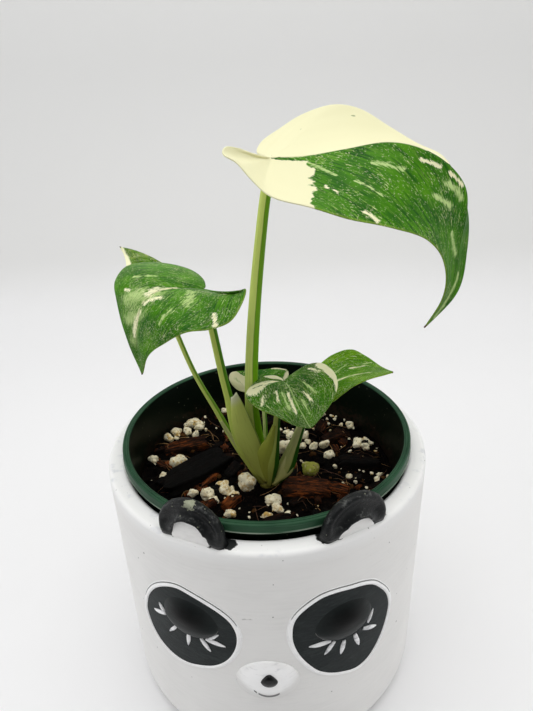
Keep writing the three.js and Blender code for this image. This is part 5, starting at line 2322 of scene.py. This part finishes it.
# Each blade has its midrib, its two margins from notch to tip, and its skin with bands and strokes.
BLADES = (
    Blade(
        (
            (5.5, -8, 212.5), (15.5, -6.5, 212.5), (28, -5, 214), (41, -4, 215.5), (51, -4, 213.5),
            (60.5, -4.5, 208), (65.5, -6, 201.5), (66, -8, 194.5), (64, -11, 185), (63, -13.5, 174.5),
            (59.5, -14.5, 166), (54.5, -15.5, 158.5),
        ),
        (
            (
                (4.5, -5, 212.5), (1, -3, 213.5), (2, 4, 216), (7.5, 12.5, 219), (16, 19.5, 223),
                (27, 25, 225.5), (37, 27.5, 223.5), (47, 26, 217.5), (56.5, 21.5, 212), (63.5, 15, 208.5),
                (67, 6, 201.5), (68.3, -3, 193), (67.6, -9, 182), (65, -12.5, 169.5), (54.5, -15.5, 158.5),
            ),
            (
                (4.5, -10, 213), (0, -14, 214.5), (-4, -19, 217), (-7, -24, 218), (-7.5, -27, 216.5),
                (-4, -28.5, 214.5), (0, -31, 210.5), (5.5, -34, 206), (15, -35.5, 203.5), (26, -34, 199.5),
                (40, -28.5, 195), (51.5, -22, 189.5), (57.5, -18.5, 182.5), (59.5, -17.5, 175.5),
                (59, -16.5, 168), (54.5, -15.5, 158.5),
            ),
        ),
        Variegation(
            "tall", (Band(Half.FIRST, 0.605, 0.6), Band(Half.SECOND, 0.375, 0.8, 0.04)),
            (
                Stroke((0.01, 0.08), (0.02, 0.4), 0.3, Tint.GREEN, 0.4),
                Stroke((0.02, 0.31), (0.07, 0.4), 0.75, Tint.GREEN, 0.3),
                Stroke((-0.63, 0.25), (-0.63, 0.253), 0.28, Tint.GREEN, strength=0.4),
                Stroke((-0.87, 0.36), (-0.87, 0.364), 0.34, Tint.GREEN, strength=0.6),
                Stroke((-0.1, 0.12), (-0.14, 0.13), 0.3, Tint.GREEN, 1.5, 0.5),
                Stroke((0.12, 0.375), (0.37, 0.44), 0.4, Tint.PALE, 1.2),
                Stroke((0.46, 0.485), (0.63, 0.555), 0.35, Tint.PALE, 1.4),
                Stroke((0.87, 0.525), (0.95, 0.56), 0.8), Stroke((0.53, 0.425), (0.57, 0.43), 0.45),
                Stroke((0.6, 0.445), (0.64, 0.455), 0.4), Stroke((0.11, 0.6), (0.08, 0.64), 0.6),
                Stroke((0.06, 0.665), (0.03, 0.7), 0.55),
                Stroke((-0.48, 0.675), (-0.2, 0.685), 0.4, ragged=1.4),
                Stroke((0.24, 0.51), (0.28, 0.575), 0.8, Tint.PALE, 1.2),
                Stroke((0.17, 0.675), (0.1, 0.715), 1.1, Tint.PALE, 1.1),
                Stroke((0.4, 0.67), (0.32, 0.715), 0.9, Tint.PALE, 1.1),
                Stroke((0.42, 0.77), (0.18, 0.83), 0.6, Tint.PALE, 1.3),
                Stroke((-0.3, 0.87), (-0.3, 0.97), 0.55, Tint.PALE, 1.0),
            ),
            lean=0.36, cream=srgb(233, 230, 190),
        ),
        bulge=2.0, rows=130, columns=26,
    ),
    Blade(
        (
            (-19, -7, 171), (-26.5, -11, 173), (-33, -15.5, 173.5), (-37, -19.5, 171), (-39, -22.5, 165.5),
            (-39.5, -25, 157), (-39, -25.5, 148.5),
        ),
        (
            (
                (-18.5, -5, 171), (-19.5, 0, 171.5), (-22.5, 5, 172.5), (-27, 9, 173.5), (-36.5, 11.5, 175),
                (-43.5, 9, 176), (-47.5, 2, 176.5), (-49, -7, 174), (-47, -14, 170.5), (-45, -19, 165.5),
                (-42.5, -23, 159), (-39, -25.5, 148.5),
            ),
            (
                (-17.5, -9.5, 171.2), (-14.5, -11.5, 169), (-10.5, -14.5, 167.4), (-6.8, -17.5, 171),
                (-3.6, -20.5, 175.6), (-4.5, -25, 172.5), (-8.5, -29.5, 168), (-15, -31.5, 166.5),
                (-21.5, -33, 166.5), (-28.5, -31.5, 162.5), (-35, -28.5, 157), (-39, -25.5, 148.5),
            ),
        ),
        Variegation(
            "left", (),
            (
                Stroke((0.08, 0.56), (-0.3, 0.62), 2.0, Tint.PALE, 1.3, 0.8),
                Stroke((0.0, 0.6), (-0.42, 0.66), 2.4, Tint.PALE, 1.3, 0.8),
                Stroke((0.02, 0.68), (-0.34, 0.75), 2.0, Tint.PALE, 1.3, 0.8),
                Stroke((-0.02, 0.78), (-0.28, 0.84), 1.3, Tint.PALE, 1.3, 0.7),
                Stroke((0.01, 0.44), (-0.02, 0.54), 0.5, ragged=1.2),
                Stroke((-0.03, 0.53), (-0.06, 0.59), 0.9, ragged=1.3),
                Stroke((0.16, 0.575), (0.04, 0.635), 0.8, ragged=1.3),
                Stroke((0.02, 0.68), (-0.08, 0.76), 0.65, ragged=1.4),
                Stroke((-0.08, 0.76), (-0.14, 0.81), 0.45, ragged=1.4),
                Stroke((-0.56, 0.62), (-0.44, 0.615), 0.5, ragged=1.5),
                Stroke((-0.55, 0.54), (-0.48, 0.525), 0.5, Tint.PALE, 1.5),
                Stroke((-0.4, 0.495), (-0.33, 0.47), 0.6, Tint.PALE, 1.5),
                Stroke((0.26, 0.42), (0.5, 0.52), 1.5, Tint.PALE, 1.5, 0.9),
                Stroke((0.5, 0.6), (0.6, 0.68), 0.35, Tint.PALE, 1.5),
                Stroke((0.8, 0.475), (0.97, 0.52), 0.6, ragged=1.4),
                Stroke((0.58, 0.34), (0.66, 0.31), 0.3, ragged=1.5),
                Stroke((0.9, 0.13), (1.0, 0.1), 0.6, ragged=1.3),
                Stroke((0.7, 0.09), (0.84, 0.1), 0.5, Tint.PALE, 1.4),
            ),
            specks=0.8, flecks=0.6, lean=0.8, light_green=srgb(80, 140, 12),
        ),
        bulge=1.6, rows=100, columns=22, cup=3.6,
    ),
    Blade(
        ((-34, 2.5, 158.5), (-38, 9.5, 162.5), (-43, 17, 167.5), (-49.5, 25, 172.5), (-56.5, 30.5, 176.5)),
        (
            (
                (-34, 4.5, 157.5), (-31.5, 5.5, 156.5), (-29.5, 8.5, 159), (-30, 14.5, 164),
                (-34.5, 21.5, 168.5), (-42, 27, 172), (-49.5, 30, 174.5), (-56.5, 30.5, 176.5),
            ),
            (
                (-34, 1.5, 157.5), (-32.5, -2.5, 153.5), (-35, -5.5, 150.5), (-39, -6.5, 153),
                (-44, -2, 159), (-48.5, 6, 165.5), (-51.5, 18, 171), (-54, 26.5, 173.5),
                (-56.5, 30.5, 176.5),
            ),
        ),
        Variegation(
            "left_back", (),
            (Stroke((0.85, 0.78), (0.6, 0.97), 1.1, ragged=0.5), Stroke((0.9, 0.16), (1.0, 0.24), 1.2)),
            specks=1.3, flecks=0.4, lean=0.6, light_green=srgb(84, 136, 0), green=srgb(38, 86, 0),
            pale=srgb(172, 192, 20), under=srgb(104, 150, 0),
        ),
        rows=80,
    ),
    Blade(
        ((7.5, -9.5, 136), (9.5, -14.5, 136), (11.5, -20.5, 134), (14, -24.5, 130.5), (16.5, -25.5, 126)),
        (
            (
                (7.5, -8.5, 136), (4, -8, 137.5), (-0.5, -9, 137.5), (-4.5, -12, 135.5), (-6, -17.5, 134.5),
                (-2, -22, 132.5), (4.5, -26, 131.5), (12, -26.5, 127.5), (16.5, -25.5, 126),
            ),
            (
                (8.5, -8.5, 136), (12, -5.5, 137), (17, -2.5, 139), (22, -2, 139), (26, -6, 137.5),
                (27, -11, 135), (24.5, -17, 131.5), (20, -22, 128), (16.5, -25.5, 126),
            ),
        ),
        Variegation(
            "front", (),
            (
                Stroke((-0.8, 0.38), (-0.38, 0.3), 3.3, ragged=0.25),
                Stroke((-0.9, 0.12), (-0.55, 0.08), 3.0, ragged=0.2),
                Stroke((-0.34, 0.36), (-0.48, 0.38), 0.4, Tint.GREEN, 1.4),
                Stroke((-0.6, 0.35), (-0.8, 0.36), 0.35, Tint.GREEN, 1.4),
                Stroke((-0.5, 0.26), (-0.58, 0.28), 0.3, Tint.GREEN, 1.4, 0.7),
                Stroke((0.9, 0.34), (0.94, 0.5), 1.7, ragged=0.3),
                Stroke((0.96, 0.5), (1.0, 0.63), 0.9, ragged=0.4),
                Stroke((0.0, 0.45), (0.0, 1.0), 0.22, Tint.PALE, 0.8),
                Stroke((0.62, 0.34), (0.72, 0.42), 0.55, ragged=1.4),
                Stroke((0.3, 0.52), (0.5, 0.64), 0.45, Tint.PALE, 1.5),
                Stroke((0.24, 0.62), (0.4, 0.72), 0.4, ragged=1.6),
                Stroke((0.16, 0.7), (0.3, 0.84), 0.35, Tint.PALE, 1.6),
                Stroke((-0.12, 0.6), (-0.3, 0.8), 0.4, ragged=1.6),
                Stroke((-0.24, 0.55), (-0.42, 0.74), 0.4, Tint.PALE, 1.6),
                Stroke((-0.36, 0.52), (-0.48, 0.62), 0.35, ragged=1.6),
                Stroke((-0.7, 0.5), (-0.85, 0.56), 0.35, ragged=1.6),
            ),
            specks=1.1, flecks=1.0, lean=1.1, light_green=srgb(66, 124, 8), green=srgb(30, 84, 6),
            deep=srgb(14, 58, 10),
        ),
        fan=0.4, rows=84,
    ),
    Blade(
        ((-1, 4, 124), (0.5, 5, 127.5), (3.5, 7, 129), (6.5, 9.5, 129.5), (9, 11.5, 129)),
        (
            (
                (-1.5, 4, 124.5), (-5, 2, 125), (-10.5, 0.5, 127), (-13.5, 1.5, 131), (-13, 5.5, 132),
                (-8, 8.5, 131), (-1, 11, 130), (5, 12, 130), (9, 11.5, 129),
            ),
            (
                (-0.5, 3, 124.5), (2, 2, 124.5), (5.5, 3, 125), (8.5, 6.5, 126.5), (9.5, 9.5, 128),
                (9, 11.5, 129),
            ),
        ),
        Variegation(
            "young", (Band(Half.FIRST, 0.5),),
            (
                Stroke((0.9, 0.6), (0.9, 0.95), 0.7, ragged=0.5),
                Stroke((-0.95, 0.86), (-0.6, 0.97), 0.7, ragged=0.5),
                Stroke((-0.6, 0.36), (-0.8, 0.4), 0.4, Tint.GREEN, 1.5, 0.4),
            ),
            lean=0.6, cream=srgb(212, 208, 172),
        ),
        fan=0.4, bulge=0.4, rows=64, columns=14,
    ),
    Blade(
        ((20.5, -1, 129), (27.5, -1, 130.5), (34, -1.5, 132.5), (41, -2, 134), (48, -4, 135.5)),
        (
            (
                (20, 1, 128.5), (19, 4, 130.5), (22, 10, 132.5), (28, 14, 135), (35, 15.5, 136),
                (40.5, 13, 134), (45, 5, 133.5), (48, -4, 135.5),
            ),
            (
                (21, -2, 128.5), (22, -4, 126), (25, -7, 125), (29, -7.5, 128.5), (33, -7.5, 132),
                (39, -6.5, 134.5), (48, -4, 135.5),
            ),
        ),
        Variegation(
            "right", (),
            (
                Stroke((0.0, 0.42), (-0.08, 0.6), 0.75, Tint.PALE, 0.5),
                Stroke((-0.08, 0.6), (-0.2, 0.76), 0.55, Tint.PALE, 0.5),
                Stroke((0.0, 0.45), (-0.06, 0.57), 0.35, ragged=0.7),
                Stroke((-0.1, 0.62), (-0.2, 0.78), 0.28, ragged=0.7),
                Stroke((-0.3, 0.42), (-0.5, 0.5), 0.4, Tint.PALE, 1.5),
                Stroke((-0.4, 0.56), (-0.6, 0.66), 0.35, ragged=1.6),
                Stroke((-0.6, 0.6), (-0.85, 0.7), 0.35, Tint.PALE, 1.6),
            ),
            specks=0.8, flecks=0.9, lean=0.9, light_green=srgb(116, 170, 8), green=srgb(64, 126, 6),
            deep=srgb(34, 86, 14), pale=srgb(176, 200, 92),
        ),
        rows=80,
    ),
)


@dataclass
class Plant:
    """The plant: its crown, stalks, sheaths and blades."""

    parts: Sequence[Stalk | Sheath | Blade] = (*STALKS, *SHEATHS, *BLADES)

    def build(self) -> None:
        """Makes the crown and everything that grows from it."""
        Crown().build()
        for part in self.parts:
            part.build()


@dataclass(frozen=True)
class Light:
    """One soft square light: where it is, where it points, its power in watts, its tint and its side."""

    name: str
    place: Point
    aim: Point
    power: float
    tint: Point
    size: float = 900.0

    def build(self) -> None:
        """Adds the light."""
        lamp = bpy.data.lights.new(self.name, "AREA")
        lamp.shape = "SQUARE"
        lamp.size = self.size * MM
        lamp.energy = self.power
        lamp.color = self.tint
        holder = bpy.data.objects.new(self.name, lamp)
        bpy.context.scene.collection.objects.link(holder)
        holder.location = Vector(self.place) * MM
        holder.rotation_euler = (Vector(self.aim) - Vector(self.place)).to_track_quat("-Z", "Y").to_euler()


@dataclass
class Studio:
    """The pale floor and backdrop, the soft lights and the camera."""

    camera_place: Point = (8.163, -186.959, 234.721)
    right: Point = (0.99919, 0.01916, -0.03537)
    up: Point = (0.02314, 0.44563, 0.89492)
    focal_pixels: float = 560.0
    frame_height: float = 711.0
    sensor: float = 36.0
    floor_front: float = -900.0
    floor_back: float = 330.0
    bend_radius: float = 260.0
    bend_steps: int = 24
    wall_top: float = 1500.0
    half_width: float = 1600.0
    floor_colour: Colour = srgb(238, 238, 239)
    backdrop_shade_colour: Colour = srgb(222, 222, 221)
    air_colour: Colour = (0.985, 0.99, 1.0, 1.0)
    air_strength: float = 0.2
    lights: Sequence[Light] = (
        Light("overhead", (0, -80, 900), (0, 0, 80), 6.7, (1.0, 0.995, 0.985)),
        Light("left", (-950, -80, 380), (0, 0, 90), 3.2, (0.99, 0.995, 1.0)),
        Light("right", (950, -40, 380), (0, 0, 90), 2.8, (1.0, 0.995, 0.985)),
    )

    def _sweep(self) -> None:
        """The floor that bends up into the backdrop."""
        deselect_all()
        bpy.ops.mesh.primitive_plane_add(size=2 * MM, location=(0, 0, 0))
        bpy.ops.transform.resize(value=(self.half_width, (self.floor_back - self.floor_front) / 2, 1))
        bpy.ops.transform.translate(value=(0, (self.floor_back + self.floor_front) / 2 * MM, 0))
        piece = settle("studio_sweep")
        bpy.ops.object.mode_set(mode="EDIT")
        bpy.ops.mesh.select_all(action="DESELECT")
        bpy.ops.object.mode_set(mode="OBJECT")
        for edge in piece.data.edges:
            edge.select = all(piece.data.vertices[i].co.y > 0 for i in edge.vertices)
        bpy.ops.object.mode_set(mode="EDIT")
        bpy.ops.mesh.select_mode(type="EDGE")
        angles = [math.pi / 2 * i / self.bend_steps for i in range(self.bend_steps + 1)]
        moves = [(math.sin(b) - math.sin(a), math.cos(a) - math.cos(b)) for a, b in zip(angles, angles[1:])]
        for north, up in [*moves, (0, self.wall_top / self.bend_radius)]:
            move = (0, self.bend_radius * north * MM, self.bend_radius * up * MM)
            bpy.ops.mesh.extrude_region_move(TRANSFORM_OT_translate={"value": move})
        bpy.ops.object.mode_set(mode="OBJECT")
        bpy.ops.object.shade_smooth()
        graph = Graph("studio_white")
        place = graph.place()
        # Painted shade: the sweep turns a greyer white from the floor up over the bend.
        height = graph.split(place)[2] + graph.grain(place, 90.0, 2.0) * 10.0
        colour = graph.mix(self.floor_colour, self.backdrop_shade_colour, height.step(0.0, 55.0))
        piece.data.materials.append(graph.finish(colour, 0.6))

    def _camera(self) -> None:
        """Adds the camera at the photograph's viewing angle."""
        lens = bpy.data.cameras.new("camera")
        lens.sensor_fit = "VERTICAL"
        lens.sensor_height = self.sensor
        lens.lens = self.sensor * self.focal_pixels / self.frame_height
        lens.clip_start = 0.01
        lens.clip_end = 20
        camera = bpy.data.objects.new("camera", lens)
        bpy.context.scene.collection.objects.link(camera)
        right, up = Vector(self.right).normalized(), Vector(self.up).normalized()
        back = right.cross(up).normalized()
        turn = Matrix((right, back.cross(right), back)).transposed().to_4x4()
        camera.matrix_world = Matrix.Translation(Vector(self.camera_place) * MM) @ turn
        bpy.context.scene.camera = camera

    def build(self) -> None:
        """Sets up the floor, the lights, the surrounding light and the camera."""
        self._sweep()
        for light in self.lights:
            light.build()
        world = bpy.data.worlds.new("studio_air")
        world.use_nodes = True
        background = world.node_tree.nodes["Background"]
        background.inputs["Color"].default_value = self.air_colour
        background.inputs["Strength"].default_value = self.air_strength
        bpy.context.scene.world = world
        bpy.context.scene.view_settings.view_transform = "Standard"
        self._camera()


def main() -> None:
    """Builds the plant, its pots and the studio."""
    logging.basicConfig(level=logging.INFO, format="%(name)s: %(message)s")
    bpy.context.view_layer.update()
    CoverPot().build()
    NurseryPot().build()
    PottingMix().build()
    Plant().build()
    Studio().build()
    deselect_all()


if __name__ == "__main__":
    main()
